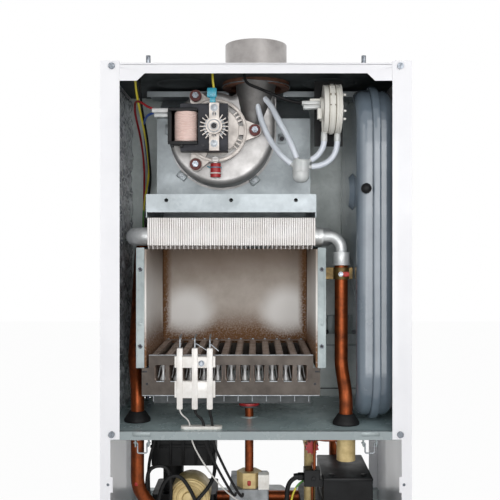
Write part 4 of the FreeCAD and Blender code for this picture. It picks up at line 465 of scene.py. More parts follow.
cords = {  # by the CAD node that they stand for: name, radius, finish, route
    "pressure_tubes": [
        ("hoseHigh", 4.1, "clearSilicone", [
            (6.8, 87, 672.5), (19, 87, 662.1), (28.7, 74.8, 639.7), (41.8, 67.6, 615.2), (49.8, 60, 596.8),
            (55.4, 60, 581.8)]),
        ("hoseLow", 4.1, "clearSilicone", [
            (1.8, 87, 659.5), (5, 87, 643.8), (11, 81.6, 626.4), (20.1, 76.2, 606.3), (34.8, 60, 583.6),
            (47.6, 60, 574)]),
        ("hoseToPort", 4.1, "clearSilicone", [(74.5, 60, 578.9), (92.5, 60, 589.3), (92.5, 60, 606.5)]),
        ("hoseToFarPort", 4.1, "clearSilicone", [(75.5, 60, 569.9), (110.5, 60, 572.4), (110.5, 60, 606.5)]),
    ],
    "electrode_leads": [
        ("sensingLead", 1.0, "whiteLead", [
            (-100, 25, 248), (-100, 25, 241.8), (-85.5, 17, 234.2), (-85.5, 17, 207), (-59.7, 28.2, 160.7),
            (-33.8, 39.4, 128.4), (-9.5, 50, 112), (-9.5, 72, 112)]),
        ("sparkLead", 1.8, "blackRubber", [
            (-80.3, 25, 248), (-80.3, 25, 241.8), (-67.4, 17, 234.2), (-67.4, 17, 207), (-54, 28.2, 175.1),
            (-40.5, 39.4, 146.2), (-27.9, 50, 122), (-27.9, 72, 122)]),
        ("secondSparkLead", 1.8, "blackRubber", [
            (-60.6, 25, 248), (-60.6, 25, 241.8), (-56.9, 17, 234.2), (-56.9, 17, 207), (-43.7, 28.2, 173.8),
            (-30.6, 39.4, 144.5), (-18.1, 50, 121), (-18.1, 72, 121)]),
    ],
    "wiring_loom": [
        ("fanLive", 1.6, "redLead", [
            (-117.8, 56, 645), (-139.6, 56, 645), (-165, 70, 665), (-174, 114, 655), (-172, 164, 624),
            (-172, 200, 590), (-176, 229, 550), *fanDown]),
        ("fanNeutral", 1.6, "blueLead", [
            (-117.8, 64, 645), (-139.6, 64, 645), (-154, 82, 641), (-162, 124, 632), (-166, 170, 612),
            (-167, 207, 583), (-168, 229, 550), *beside(fanDown, 8.8)]),
        ("roofEarth", 1.6, "earthLead", [
            (-164, 58, 696.3), (-164, 58, 680.3), (-162, 84, 652.3), (-160, 120, 626.3), (-161, 162, 598.3),
            (-164, 198, 568.3), (-176.2, 224, 528.3), *roofDown]),
        ("roofLead", 1.6, "blackRubber", [
            (-159, 66, 696.3), (-159, 66, 680.3), (-159, 88, 650.3), (-157, 126, 620.3), (-159, 164, 590.3),
            (-161, 198, 560.3), (-171.8, 224, 528.3), *beside(roofDown, 4.4)]),
        ("switchLeadFront", 1.6, "blackRubber", switchRoute(57.6)),
        ("switchLeadRear", 1.6, "blackRubber", switchRoute(62.4)),
        ("motorEarth", 1.6, "earthLead", [(-56, 45, 654), (-56, 45, 672), (-58, 42, 684), (-58, 42, 696.3)]),
        ("pumpCable", 3.2, "blackRubber", [(66, 79, 143.5), (43, 79, 143.5), (43, 79, 95), (17.5, 79, 95)]),
    ],
    "none": [  # thin cables in the lower compartment
        ("pumpEarth", 1.4, "earthLead", [
            (66, 84, 136), (58, 80, 133), (50, 78, 118), (47, 78, 98), (40, 90, 78), (17, 100, 78)]),
        ("sensorLead", 2.2, "blackRubber", [
            (-135, 86, 223.2), (-138, 85, 204), (-143, 84, 184), (-149, 82, 160), (-149, 80, 130), (-146, 80, 98),
            (-142, 86, 66), (-138, 102, 52), (-137, 124.5, 56)]),
        ("diverterLead", 2.6, "blackRubber", [
            (-141, 124.5, 72), (-146, 94, 72), (-150, 74, 106), (-150, 68, 137), (-146, 66, 160), (-122, 66, 163),
            (-116, 69, 139), (-118, 76, 106), (-121, 88, 74), (-116, 110, 62), (-113, 124.5, 64)]),
        ("probeLead", 2.6, "blackRubber", [
            (-131, 124.5, 50), (-137, 92, 60), (-137, 72, 100), (-127, 66, 142), (-105, 66, 152), (-86, 69, 122),
            (-74, 72, 86), (-63, 92, 60), (-62, 124.5, 54)]),
        ("blockLead", 2.6, "blackRubber", [
            (-62, 115.5, 164), (-56, 98, 152), (-62, 78, 132), (-84, 70, 110), (-98, 72, 80), (-104, 98, 58),
            (-104, 124.5, 58)]),
    ],
}
for node, leads in cords.items():
    for name, radius, finish, route in leads:
        shape = bpy.data.curves.new(name, "CURVE")
        shape.dimensions = "3D"
        shape.bevel_depth = radius / 1000
        shape.bevel_resolution = 4
        shape.resolution_u = 10
        shape.use_fill_caps = True
        spline = shape.splines.new("NURBS")
        spline.points.add(len(route) - 1)
        for point, place in zip(spline.points, route):
            point.co = (*at(*place), 1.0)
        spline.order_u = 3
        spline.use_endpoint_u = True
        shape.materials.append(makeFinish(finish))
        lead = show(name, shape)
        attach(lead, "chassis")
        if node in nodes:
            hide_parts(node)
print("stage: hoses and leads laid")

# foil liner on the left wall: a sheet creased by hand
foil = dict(
    x=-196.3, backs=(10.4, 238.8), zs=(224.0, 688.3), cells=(44, 88), creaseMm=19.0, deepMm=3.4,
    ridges=(0.9, 2.1, 3, 1.0, 2.0), level=1.1, thickMm=0.15)
form = bmesh.new()
bmesh.ops.create_grid(form, x_segments=foil["cells"][0], y_segments=foil["cells"][1], size=0.5)
spans = [(end - start) / 1000 for start, end in (foil["backs"], foil["zs"])]
bmesh.ops.scale(form, vec=(*spans, 1), verts=form.verts)
bmesh.ops.rotate(form, matrix=Matrix((upAxis, acrossAxis, depthAxis)), verts=form.verts)
bmesh.ops.translate(form, vec=at(foil["x"], sum(foil["backs"]) / 2, sum(foil["zs"]) / 2), verts=form.verts)
for vert in form.verts:
    crease = noise.ridged_multi_fractal(vert.co * 1000 / foil["creaseMm"], *foil["ridges"])
    vert.co.x += foil["deepMm"] / 1000 * max(-1.0, min(1.0, crease - foil["level"]))
liner = newPiece("foilSheet", form, "foil", standsFor=["foil_liner"], smooth=4)
gauge = liner.modifiers.new("thickness", "SOLIDIFY")
gauge.thickness = foil["thickMm"] / 1000
print("stage: foil creased")

# motor winding: core and one wire wound on it
winding = dict(centre=(-95.0, 60.0), core=13.9, wire=1.25, lay=14.6, zs=(602.0, 644.0), turns=17, stepsPerTurn=30)
form = bmesh.new()
x, back = winding["centre"]
low, high = winding["zs"]
addRod(form, (x, back, low), (x, back, high), winding["core"], sides=40)
begin = at(x + winding["lay"], back, low + winding["wire"])
loop = bmesh.ops.create_circle(form, cap_ends=False, segments=8, radius=winding["wire"] / 1000,
                               matrix=Matrix.Translation(begin) @ Matrix.Rotation(math.pi / 2, 4, "X"))["verts"]
steps = winding["turns"] * winding["stepsPerTurn"]
climb = (high - low - 2 * winding["wire"]) / 1000 / steps
bmesh.ops.spin(form, geom=loop + edgesOf(loop), cent=at(x, back, low), axis=upAxis, dvec=(0, 0, climb),
               angle=math.tau * winding["turns"], steps=steps)
bmesh.ops.holes_fill(form, edges=[e for e in form.edges if e.is_boundary], sides=0)
newPiece("winding", form, "windingTape", standsFor=["motor_coil"])
print("stage: coil wound")

# exchanger: a pack of folded fins, toothed along the lower edge
fins = dict(
    xs=(-145.5, 79.5), backs=(45.0, 222.0), zs=(458.0, 500.0), count=76, thick=0.55, setBack=0.8, topIn=1, hem=2.35,
    hemTall=5.0, hemDeep=2.0, tongues=(466.5, 493.0), tongueTall=1.6, tongueBack=(8.0, 10.0))
form = bmesh.new()
pitch = (fins["xs"][1] - fins["xs"][0] - fins["hem"]) / (fins["count"] - 1)
front, rear = fins["backs"]
low, high = fins["zs"]
for i in range(fins["count"]):
    x = fins["xs"][0] + fins["hem"] / 2 + i * pitch
    tooth = low + fins["hemTall"] * (i % 2)
    addBlock(form, about(x, fins["thick"] / 2), (front + fins["setBack"], rear), (tooth, high - fins["topIn"]))
    hem = (low + fins["hemTall"], high)
    addBlock(form, about(x, fins["hem"] / 2), (front, front + fins["hemDeep"]), hem, soft=0.2)
for z in fins["tongues"]:  # spacer tongues that hold the fins apart
    addBlock(form, fins["xs"], [front + back for back in fins["tongueBack"]], (z, z + fins["tongueTall"]))
newPiece("finPack", form, "finMetal", standsFor=["exchanger_fins"])
print("stage: fins folded")

# burner: mouths behind the windows, lips, hem and foot on the plate in bright zinc as painted highlight, strip
# rivets and ticks
burner = dict(
    centre=-33.0, pitch=18.7, blades=12, back=216.0, top=316.0, half=108.6, windows=(284.0, 305.0),
    rivetMm=(1.7, 1.0), rivetBack=(-3, 1), rivetUp=1.2, strapHalf=1.4, strapBack=(-4, -1), strapDown=4, tickBack=33,
    tickZ=(256.5, 265), tickMm=(0.8, 0.6), slant=0.5, throatBack=46,
    throat=((5.6, 0), (4.6, 2.5), (2.7, 6.5), (1.9, 11.5), (2.7, 16.5), (4.6, 20.5), (5.6, 23)), edgeX=(5.4, 4.2),
    edgeBack=(52, 60), edgeMm=0.7, lipHalf=5.3, lipBack=(28.9, 30.2), lipZ=(-1.1, -0.1), hemBack=(29.6, 31.4),
    hemZ=(1.6, 2.6), foot=((-150, 84), (29.2, 30.4), (264.2, 265.4)), railBacks=((31.4, 39), (205, 214)),
    railHalf=107.2, railZ=(-0.2, 0.9))


def burnerRow(count):  # places across of the blades, or of the windows between them
    return [burner["centre"] + (i - (count - 1) / 2) * burner["pitch"] for i in range(count)]


def over(level, offsets):  # limits given from a level
    return [level + offset for offset in offsets]


throats, lips, rivets, rails = [bmesh.new() for kind in range(4)]
rear, top = burner["back"], burner["top"]
for x in burnerRow(burner["blades"]):
    raised = top + burner["rivetUp"]
    addPin(rivets, x, raised, over(rear, burner["rivetBack"]), burner["rivetMm"], sides=12)
    strap = (top - burner["strapDown"], raised)
    addBlock(rivets, about(x, burner["strapHalf"]), over(rear, burner["strapBack"]), strap, soft=0.3)
    foot, head = [(x, burner["tickBack"], z) for z in burner["tickZ"]]
    addRod(lips, foot, head, burner["tickMm"], sides=8)
low, high = burner["windows"]
for x in burnerRow(burner["blades"] - 1):
    slant = (x - burner["centre"]) / burner["pitch"] * burner["slant"]
    addLathe(throats, (x - slant, burner["throatBack"], low - 1), upAxis, burner["throat"], sides=18)
    near, far = burner["edgeBack"]
    for side in (-1, 1):
        wide, narrow = [side * offset for offset in burner["edgeX"]]
        addRod(throats, (x + wide, near, low), (x + narrow - slant, far, high), burner["edgeMm"], sides=8)
    addBlock(lips, about(x, burner["lipHalf"]), burner["lipBack"], over(low, burner["lipZ"]), soft=0.25)
addBlock(lips, about(burner["centre"], burner["half"]), burner["hemBack"], over(top, burner["hemZ"]), soft=0.3)
addBlock(lips, *burner["foot"], soft=0.3)
for backs in burner["railBacks"]:
    addBlock(rails, about(burner["centre"], burner["railHalf"]), backs, over(top, burner["railZ"]), soft=0.3)
newPiece("gasMouths", throats, "tinnedTube")
# the plate's own lips, hem and foot in brighter zinc than the plate: painted highlight
newPiece("plateLips", lips, "zincPlate")
newPiece("stripRivets", rivets, "zincPlate")
newPiece("burnerRails", rails, "flameStrip")

# electrodes: flat ceramic face flush with the bars, bent spark wires
sparks = dict(
    plates=((302.4, 316.8), (262.8, 284.2)), xs=(-104, -56.6), plateBacks=(21.7, 26), bars=(-100, -80.3, -60.6),
    barHalf=3.9, barBacks=(21.0, 26), barZ=(248.4, 327.4), wireMm=(0.7, 0.75),
    wires=(((-80.3, 25, 327), (-79, 25, 334)), ((-79, 25, 334), (-64.5, 25, 325)),
    ((-60.6, 25, 327), (-59.5, 25, 333)), ((-59.5, 25, 333), (-49, 25, 324)), ((-100, 25, 327), (-98.5, 24, 335))))
form = bmesh.new()
for zs in sparks["plates"]:
    addBlock(form, sparks["xs"], sparks["plateBacks"], zs, soft=0.5)
for x in sparks["bars"]:
    addBlock(form, about(x, sparks["barHalf"]), sparks["barBacks"], sparks["barZ"], soft=0.7)
newPiece("ceramicFace", form, "ceramic")
form = bmesh.new()
for start, end in sparks["wires"]:
    addRod(form, start, end, sparks["wireMm"], sides=10)
newPiece("sparkWires", form, "zincPlate")
print("stage: burner detailed")

# motor: sleeves on the terminals, bobbin walls with a black back wall behind the winding (painted shade), boot on
# the earth tag
motor = dict(
    sleeves=(((-141, -117.8), (53, 59), (642.5, 648.5)), ((-139, -117.8), (61, 67), (637.5, 646.8))),
    walls=(((-118, -78.5), (43.4, 46.4), (598.3, 602.7)), ((-118, -78.5), (43.4, 46.4), (643.3, 647.7)),
    ((-118.6, -113.5), (47, 76), (601, 645)), ((-118.6, -79), (76, 78.5), (601, 645)),
    ((-114, -110), (45, 50), (594.5, 600)), ((-102, -98), (45, 50), (594.5, 600))), boot=(((-65.5, -52.5),
    (41.6, 48.4), (661, 674)), ((-62, -54), (42.4, 47.6), (654, 662))))
boxPiece("terminalSleeves", motor["sleeves"], "clearPlastic", soft=1.2)
# one wall, behind the winding at 76 to 78.5 mm, is a black sheet closing the gap: painted shade
boxPiece("bobbinWalls", motor["walls"], "blackNylon", soft=0.7)
boxPiece("earthBoot", motor["boot"], "cyanSleeve", soft=1.5)

# motor bridge and stack: screws, spun lips round the bearing cup, punched holes and the bore as thin black discs
# (painted shade)
bridge = dict(
    x=-56, z=622, screws=(647.3, 599.4), screwBack=43, screwMm=4.0, screwTall=2.6, cupBack=36.1,
    cupRings=((8.2, 0.7), (4.4, 0.6)), eyes=(639, 611), eyeRing=(2.5, 0.5), stackBack=50, holeMm=1.9,
    holes=((-81, 646), (-71.5, 646), (-81, 598), (-71.5, 598), (-40, 647), (-40, 597)), holeDeep=0.4, boreMm=3.6)
form = bmesh.new()
x, z, deep = bridge["x"], bridge["z"], bridge["holeDeep"]
eyes = [(x, bridge["screwBack"], height) for height in bridge["eyes"]]
for height in bridge["screws"]:
    addScrew(form, (x, bridge["screwBack"], height), bridge["screwMm"], height=bridge["screwTall"], hexagon=True)
for radius, wire in bridge["cupRings"]:
    addRing(form, (x, bridge["cupBack"], z), depthAxis, radius, wire, sides=36)
for place in eyes:
    addRing(form, place, depthAxis, *bridge["eyeRing"], sides=20, facets=8)
newPiece("bridgeScrews", form, "zincPlate")
form = bmesh.new()
# the bore and the punched holes: thin black discs, painted shade
addPin(form, x, z, (bridge["cupBack"] + deep, bridge["cupBack"] - deep / 2), bridge["boreMm"], sides=24)
for x, back, z in eyes + [(x, bridge["stackBack"], z) for x, z in bridge["holes"]]:
    addPin(form, x, z, (back + deep / 2, back - deep / 2), bridge["holeMm"], sides=16)
newPiece("stackHoles", form, "blackSteel")

# scroll: cast lips on the motor plate, neck up to the collar, clips and screws round the edge, band on the gasket
scroll = dict(
    x=-56, z=622, lobesMm=54.5, lobeTurns=(0, 120, 240), plateBack=78.9, lobeRing=(8.3, 0.8),
    rims=((43.3, 0.7), (39.8, 0.6), (32.4, 0.6)), neckTop=(0, 100.5, 695.4), neckFoot=(-6, 112, 628),
    neckMm=(29.6, 17), clips=((-109, 565, 38), (-2, 558, -38), (-128, 633, 90)), clipHalf=(7, 5),
    clipBack=(143.5, 147.4), screwMm=2.6, tab=((32, 44), (147.5, 150), (612.5, 627.5)), tabHole=(38, 147.5, 620),
    tabRing=(4.2, 1.0), holeMm=3.6, holeBack=(0.1, -0.3), band=((0, 122.5, 690), 48.2, 0.9))
form = bmesh.new()
for turn in scroll["lobeTurns"]:
    x = scroll["x"] + scroll["lobesMm"] * math.cos(math.radians(turn))
    z = scroll["z"] + scroll["lobesMm"] * math.sin(math.radians(turn))
    addRing(form, (x, scroll["plateBack"], z), depthAxis, *scroll["lobeRing"])
for radius, wire in scroll["rims"]:
    addRing(form, (scroll["x"], scroll["plateBack"], scroll["z"]), depthAxis, radius, wire, sides=72)
newPiece("lobeLips", form, "dieCast")
form = bmesh.new()
addRod(form, scroll["neckTop"], scroll["neckFoot"], scroll["neckMm"], sides=64)
# a darker copy of the scroll's steel: painted shade
newPiece("neckSleeve", form, "heatedSteel")
ringPiece("gasketBand", [scroll["band"]], "zincPlate", sides=64)
form = bmesh.new()
clips = bmesh.new()
for x, z, turn in scroll["clips"]:
    halfWide, halfTall = scroll["clipHalf"]
    addBlock(clips, about(x, halfWide), scroll["clipBack"], about(z, halfTall), soft=0.8, turn=turn)
    addScrew(form, (x, scroll["clipBack"][0], z), scroll["screwMm"])
addBlock(clips, *scroll["tab"], soft=0.6)
addRing(clips, scroll["tabHole"], depthAxis, *scroll["tabRing"], sides=28)
newPiece("scrollClips", clips, "paleZinc")
newPiece("scrollScrews", form, "zincPlate")
# the tab's hole as a thin black disc: painted shade
form = bmesh.new()
x, back, z = scroll["tabHole"]
addPin(form, x, z, over(back, scroll["holeBack"]), scroll["holeMm"], sides=24)
newPiece("clipHole", form, "blackSteel")

# drain cap under the scroll: nylon band and the tail of its tie
drain = dict(
    band=((-56, 83.2, 563), 7.5, 0.9), tieAt=(-56, 83.2, 571), tieMm=7.9, tieWire=0.6,
    tail=((-64, 83.2, 571), (-68, 86, 573)))
ringPiece("capBand", [drain["band"]], "whiteNylon")
form = bmesh.new()
addRing(form, drain["tieAt"], upAxis, drain["tieMm"], drain["tieWire"])
addRod(form, *drain["tail"], drain["tieWire"], sides=8)
newPiece("capClip", form, "cyanSleeve")
print("stage: fan detailed")

# pressure switch: ribs round the cup, grooves and window outlines as dark rings and strips (painted shade), bright
# windows, pegs, port collars, terminal sleeves
switch = dict(
    back=60, z=648, radiusMm=32.5, ribs=(107.8, 110.8, 113.8), ribWire=1.1, grooves=(97.4, 106.3), grooveMm=32.3,
    grooveWire=0.7, windowX=(98.8, 105.0), windowZ=(673.5, 670, 666.5, 659, 655, 651), sliceHalf=1.9, proud=0.9,
    frames=((676.4, 0.7), (662.8, 1.6), (648.2, 0.7)), pegs=((36, 663), (32, 641), (36, 631)), pegX=(116, 119.5),
    pegMm=(1.8, 1.4), cap=((82, 88), (40, 50), (632, 646)), ports=(92.5, 110.5), portZ=(604, 617),
    portMm=(4.6, 4.2), tags=((62, 656), (64, 650.5)), tagEnd=87, tagBack=(54, 66), tagHalf=2.6)


def addHoops(form, places, radius, wire):  # rings round the cup
    for x in places:
        addRing(form, (x, switch["back"], switch["z"]), acrossAxis, radius, wire, sides=56, facets=8)


def cupFront(z):  # how deep a strip on the cup's front lies at a height
    front = switch["back"] - math.sqrt(switch["radiusMm"] ** 2 - (z - switch["z"]) ** 2)
    return (front - switch["proud"], front + 2 * switch["proud"])


form = bmesh.new()
addHoops(form, switch["ribs"], switch["radiusMm"], switch["ribWire"])
for back, z in switch["pegs"]:
    start, end = [(x, back, z) for x in switch["pegX"]]
    addRod(form, start, end, switch["pegMm"], sides=14, soft=0.3)
addBlock(form, *switch["cap"], soft=0.8)
newPiece("switchRelief", form, "beigeMoulding")
# grooves and window frames as dark rings and strips: painted shade
form = bmesh.new()
addHoops(form, switch["grooves"], switch["grooveMm"], switch["grooveWire"])
for z, half in switch["frames"]:
    addBlock(form, switch["grooves"], cupFront(z), about(z, half))
newPiece("switchGrooves", form, "grooveDirt")
slices = [(switch["windowX"], cupFront(z), about(z, switch["sliceHalf"])) for z in switch["windowZ"]]
boxPiece("switchWindows", slices, "whiteNylon", soft=0.3)
form = bmesh.new()
for x in switch["ports"]:
    start, end = [(x, switch["back"], z) for z in switch["portZ"]]
    addRod(form, start, end, switch["portMm"], sides=24, soft=0.4)
for x, z in switch["tags"]:
    addBlock(form, (x, switch["tagEnd"]), switch["tagBack"], about(z, switch["tagHalf"]), soft=0.9)
newPiece("switchSleeves", form, "clearPlastic")

# water trap between the hoses: moulded rims
trap = dict(rims=(((61, 60, 578), 11.4, 0.8), ((61, 60, 563), 11.5, 0.6)))
ringPiece("trapRims", trap["rims"], "clearPlastic")

# air cap of the vessel: domed rubber with a rolled rim
airCap = dict(at=(143, 10.2, 537), dome=((0, 4.2), (2.6, 3.8), (4.6, 2.4), (5.8, 0.6), (6.0, 0)), rim=(6.0, 0.8))
form = bmesh.new()
addLathe(form, airCap["at"], (0, -1, 0), airCap["dome"], sides=28)
addRing(form, airCap["at"], depthAxis, *airCap["rim"], sides=28)
newPiece("capDome", form, "blackNylon")
print("stage: switch detailed")

# fixings: small screws, rimmed holes of the chamber flange, key slots of the burner ears; the holes and slots are
# thin black discs and plates (painted shade)
fixings = dict(
    cornerX=(-189.8, 189.8), smallZ=156, smallBack=2.2, smallMm=3.2, flangeX=(-153, 87), flangeZ=(431.2, 329.5),
    flangeBack=29.9, rim=(2.4, 0.7), holeMm=2.0, holeBack=(30.2, 29.5), clip=(112, 30, 425), clipMm=2.6,
    block=(-71.5, 21, 308.5), wall=(111, 233, 326), wallMm=3.0, plugs=((-153.2, 359.3), (87.2, 359.3)), plugMm=2.6,
    plugBack=(30.2, 29.7), earX=(-147, 81), earHalf=3.2, earBack=(29.7, 30.4), earZ=(295.2, 297.4), pinX=(-144, 78),
    pinZ=280, pinBack=(30.4, 29.7), pinMm=1.8)
screws = bmesh.new()
form = bmesh.new()
for x in fixings["cornerX"]:
    addScrew(screws, (x, fixings["smallBack"], fixings["smallZ"]), fixings["smallMm"])
for x in fixings["flangeX"]:
    for z in fixings["flangeZ"]:
        addRing(screws, (x, fixings["flangeBack"], z), depthAxis, *fixings["rim"], sides=20, facets=8)
        # the hole itself a thin black disc: painted shade
        addPin(form, x, z, fixings["holeBack"], fixings["holeMm"], sides=16)
addScrew(screws, fixings["clip"], fixings["clipMm"])
addScrew(screws, fixings["block"], fixings["smallMm"])
newPiece("sheetScrews", screws, "boltZinc")
for x, pinX in zip(fixings["earX"], fixings["pinX"]):
    # key slot and pin hole as a thin black plate and disc: painted shade
    addBlock(form, about(x, fixings["earHalf"]), fixings["earBack"], fixings["earZ"], soft=0.2)
    addPin(form, pinX, fixings["pinZ"], fixings["pinBack"], fixings["pinMm"], sides=14)
addScrew(form, fixings["wall"], fixings["wallMm"])
newPiece("darkScrews", form, "blackSteel")
form = bmesh.new()
for x, z in fixings["plugs"]:
    addPin(form, x, z, fixings["plugBack"], fixings["plugMm"], soft=0.15)
newPiece("flangePlugs", form, "dullZinc")

# back plate: a folded rib, a black strip at a fold as painted shade, and a tab low on the right
backSheet = dict(
    rib=((93.5, 150), (236.8, 239.6), (303.4, 306.2)), fold=((93.5, 150), (237.4, 239.6), (235.4, 237.0)),
    tab=((112.5, 127), (236.6, 239.6), (322.5, 352.5)))
boxPiece("backRib", [backSheet["rib"]], "paleZinc", soft=0.6)
boxPiece("backFold", [backSheet["fold"]], "blackSteel", soft=0.2)
boxPiece("backTab", [backSheet["tab"]], "dullZinc", soft=0.5)

# roof: primed underside painted dark as shade, and the two pressed blanks beside the flue in the same dark
roof = dict(
    sheet=((-197.6, 197.6), (4, 238), (695.5, 696.2)), blanks=((-105, 122, 693.6), (105, 122, 693.6)),
    pressing=((0, 0), (33, 0), (36, 0.8), (38, 2.0)))
boxPiece("roofPrimer", [roof["sheet"]], "primer")
form = bmesh.new()
for place in roof["blanks"]:
    addLathe(form, place, upAxis, roof["pressing"], sides=48)
newPiece("roofBlanks", form, "primer")

# under the shelf: blanks behind the lip's slots, a shim round the gas pipe, the loom's plug
under = dict(
    slotX=(-147, 147), slotHalf=12.6, slotBack=(2.45, 3.1), slotZ=(216.8, 222.7), shimAt=(-9.5, 92, 224.05),
    shim=((6.1, 0), (12.5, 0), (12.5, 0.5), (6.1, 0.5), (6.1, 0)), plug=((-183, -162), (220, 234), (199, 213.6)),
    ridge=((-184.2, -160.8), (218.8, 235.2), (204, 207)))
slots = [(about(x, under["slotHalf"]), under["slotBack"], under["slotZ"]) for x in under["slotX"]]
boxPiece("slotBlanks", slots, "dullZinc", soft=0.1)
form = bmesh.new()
addLathe(form, under["shimAt"], upAxis, under["shim"], sides=40)
newPiece("pipeShim", form, "rolledSheet")
form = bmesh.new()
addBlock(form, *under["plug"], soft=0.8)
addBlock(form, *under["ridge"], soft=0.4)
newPiece("loomPlug", form, "whiteNylon")

# washer of the gas union, red fibre
washer = dict(start=(-9.5, 92, 240.2), end=(-9.5, 92, 244), radiusMm=14.4)
form = bmesh.new()
addRod(form, washer["start"], washer["end"], washer["radiusMm"], sides=40, soft=0.6)
newPiece("unionWasher", form, "redPlastic")
print("stage: fixings placed")

# gas valve: screw heads on the cast ones, cap on the boss, pressure tap, connector with its ribs
valve = dict(
    screws=((-30.5, 46), (11.5, 46), (-30.5, 101), (11.5, 101)), headBack=69.8, headMm=2.7, headTall=0.9,
    caps=((-19.5, 78, (65, 62.5), 8.6), (4, 66, (72, 67), 6.0)), plug=((2.9, 18.1), (71.2, 87), (127.2, 147.8)),
    ribs=(6.5, 10.5, 14.5), ribHalf=1.0, ribBack=(70.4, 72), ribZ=(131, 144))
form = bmesh.new()
for x, z in valve["screws"]:
    addScrew(form, (x, valve["headBack"], z), valve["headMm"], height=valve["headTall"])
for x, z, backs, radius in valve["caps"]:
    addPin(form, x, z, backs, radius, sides=32, soft=0.7)
    addScrew(form, (x, backs[1], z), radius / 2, height=valve["headTall"])
newPiece("valveFittings", form, "zincPlate")
form = bmesh.new()
addBlock(form, *valve["plug"], soft=0.9)
for x in valve["ribs"]:
    addBlock(form, about(x, valve["ribHalf"]), valve["ribBack"], valve["ribZ"], soft=0.3)
newPiece("valvePlug", form, "whiteNylon")

# pump: seam round the head, lid with its screws, plug gland
pump = dict(
    seam=((91, 160), (59, 180), (112, 114.5)), lid=((91.4, 159.6), (59.4, 179.6), (141.5, 146.8)),
    lidScrews=(104, 148), lidBack=74, lidZ=(146.8, 148.2), screwMm=4.0, gland=((66, 79, 143.5), (58, 79, 143.5)),
    glandMm=5.6, sleeveEnd=(52, 79, 143.5), sleeveMm=(4.6, 3.8), plugX=79, plugZ=143, plugBack=(67.9, 66.5),
    plugMm=3.0)
form = bmesh.new()
addBlock(form, *pump["seam"], soft=0.8)
addBlock(form, *pump["lid"], soft=2.0)
for x in pump["lidScrews"]:
    start, end = [(x, pump["lidBack"], z) for z in pump["lidZ"]]
    addRod(form, start, end, pump["screwMm"], soft=0.5)
addRod(form, *pump["gland"], pump["glandMm"], sides=6, soft=0.6)
addRod(form, pump["gland"][1], pump["sleeveEnd"], pump["sleeveMm"])
addPin(form, pump["plugX"], pump["plugZ"], pump["plugBack"], pump["plugMm"], sides=18, soft=0.4)
newPiece("pumpRelief", form, "blackNylon")

# water block: ribs on the upper box, rings on its leg, stepped face of the diverter body
block = dict(
    ribs=(-140, -122, -104, -86, -68), ribHalf=1.5, ribBack=(111, 116), ribZ=(150, 203),
    belt=((-151, -57), (112.5, 116), (174, 178)), leg=(-121, 145.5), legRings=(108, 146), legMm=(16.5, 2.2),
    bodyAt=(-92, 80, 112), bodyRings=((24.5, 2.2), (17, 1.4)), hubBack=(80.2, 76), hubMm=(11.0, 9.5))
form = bmesh.new()
for x in block["ribs"]:
    addBlock(form, about(x, block["ribHalf"]), block["ribBack"], block["ribZ"], soft=0.5)
addBlock(form, *block["belt"], soft=0.6)
for z in block["legRings"]:
    addRing(form, (*block["leg"], z), upAxis, *block["legMm"], sides=40)
newPiece("blockRibs", form, "composite")
form = bmesh.new()
for radius, wire in block["bodyRings"]:
    addRing(form, block["bodyAt"], depthAxis, radius, wire, sides=48)
x, back, z = block["bodyAt"]
addPin(form, x, z, block["hubBack"], block["hubMm"], sides=40, soft=0.8)
newPiece("diverterFace", form, "dullBrass")

# soldered collars on the risers, tamper paint on the left pipe, the gas nut and the right riser
marks = dict(
    collars=(((116, 62, 437), 11.4, 1.0), ((120.5, 45, 217), 11.2, 1.4), ((-161.5, 63, 200), 8.4, 1.0)),
    paint=(((-164.5, -159), (54.2, 58), (137, 144)), ((-12, -7), (75.4, 78), (131, 138)),
    ((114.5, 123.5), (30.4, 40), (421.5, 428))))
ringPiece("solderRings", marks["collars"], "tinnedTube")
boxPiece("paintMarks", marks["paint"], "redPaint", soft=1.6)
print("stage: water side detailed")

# camera: the photograph's eye is about a metre in front of the flange, level with the exchanger
shot = dict(
    distanceMm=1000.0, heightMm=463.5, pixelsPerMm=0.78, axisX=256.0, axisY=245.0, frame=500.0, sensorMm=36.0,
    nearM=0.05)
lens = bpy.data.cameras.new("photoCamera")
lens.sensor_width = shot["sensorMm"]
lens.lens = shot["pixelsPerMm"] * shot["distanceMm"] * shot["sensorMm"] / shot["frame"]
lens.shift_x = (shot["frame"] / 2 - shot["axisX"]) / shot["frame"]
lens.shift_y = (shot["axisY"] - shot["frame"] / 2) / shot["frame"]
lens.clip_start = shot["nearM"]
photoCamera = show("photoCamera", lens)
photoCamera.location = at(0, -shot["distanceMm"], shot["heightMm"])
photoCamera.rotation_euler = (math.radians(90), 0, 0)
bpy.context.scene.camera = photoCamera

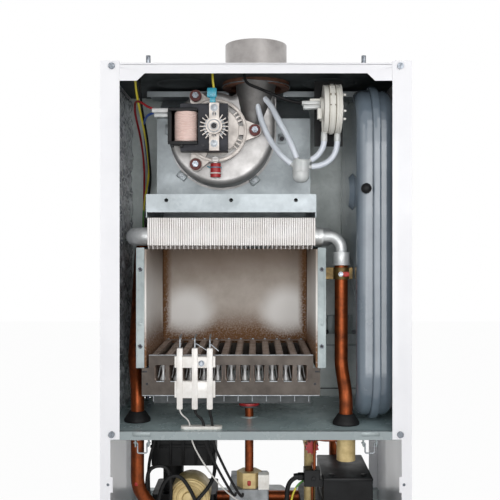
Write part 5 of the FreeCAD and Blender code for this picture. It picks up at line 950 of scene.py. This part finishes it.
# light: pale room, broad lamps to the right and left, one far in front that reaches the back plate
room = dict(fill=0.25, floorGapMm=30.0, floorM=4.0, floorCode="F4F4F4", floorRough=0.8, floorGlow=0.97)
lamps = [
    dict(name="key", place=(850, -1600, 1100), size=1.1, watts=9, aim=(0, 100, 430)),
    dict(name="side", place=(-950, -1550, 760), size=1.0, watts=6, aim=(0, 100, 400)),
    dict(name="front", place=(60, -2100, 380), size=1.0, watts=14.5, aim=(0, 200, 400)),
]
for setting in lamps:
    data = bpy.data.lights.new(setting["name"], "AREA")
    data.size = setting["size"]
    data.energy = setting["watts"]
    lamp = show(setting["name"], data)
    lamp.location = at(*setting["place"])
    lamp.rotation_euler = (at(*setting["aim"]) - lamp.location).to_track_quat("-Z", "Y").to_euler()


def seenRays(tree):  # 1 for rays that show the room: straight, through clear plastic, mirrored in metal
    rays = addNode(tree, "LightPath").outputs
    seen = addNode(tree, "Math", {0: rays["Is Camera Ray"], 1: rays["Is Transmission Ray"]}, operation="MAXIMUM")
    return addNode(tree, "Math", {0: seen.outputs[0], 1: rays["Is Glossy Ray"]}, operation="MAXIMUM").outputs[0]


world = bpy.data.worlds.new("paleRoom")
bpy.context.scene.world = world
world.use_nodes = True
sky = world.node_tree
sky.nodes.clear()
strength = addNode(sky, "MapRange", {"Value": seenRays(sky)}, To_Min=room["fill"], To_Max=1.0)
glow = addNode(sky, "Background", {"Strength": strength.outputs["Result"]}, Color=(1, 1, 1, 1))
addNode(sky, "OutputWorld", {"Surface": glow.outputs["Background"]})
bpy.context.scene.view_settings.view_transform = "Standard"

form = bmesh.new()
bmesh.ops.create_grid(form, x_segments=1, y_segments=1, size=room["floorM"])
bmesh.ops.translate(form, vec=(0, 0, cadBox[0][2] - room["floorGapMm"] / 1000), verts=form.verts)
floorMesh = bpy.data.meshes.new("floor")
form.to_mesh(floorMesh)
form.free()
floor = show("floor", floorMesh)
floorPaint = bpy.data.materials.new("paleFloor")
floorPaint.use_nodes = True
floorTree = floorPaint.node_tree
floorShader = floorTree.nodes["Principled BSDF"]
floorShader.inputs["Base Color"].default_value = linear(room["floorCode"])
floorShader.inputs["Roughness"].default_value = room["floorRough"]
share = addNode(floorTree, "Math", {0: seenRays(floorTree)}, operation="MULTIPLY")
share.inputs[1].default_value = room["floorGlow"]
white = addNode(floorTree, "Emission", Color=(1, 1, 1, 1))
ends = {0: share.outputs[0], 1: floorShader.outputs["BSDF"], 2: white.outputs["Emission"]}
sheet = addNode(floorTree, "MixShader", ends)
floorTree.links.new(sheet.outputs["Shader"], floorTree.nodes["Material Output"].inputs["Surface"])
floorMesh.materials.append(floorPaint)
print("stage: camera, light and floor set")
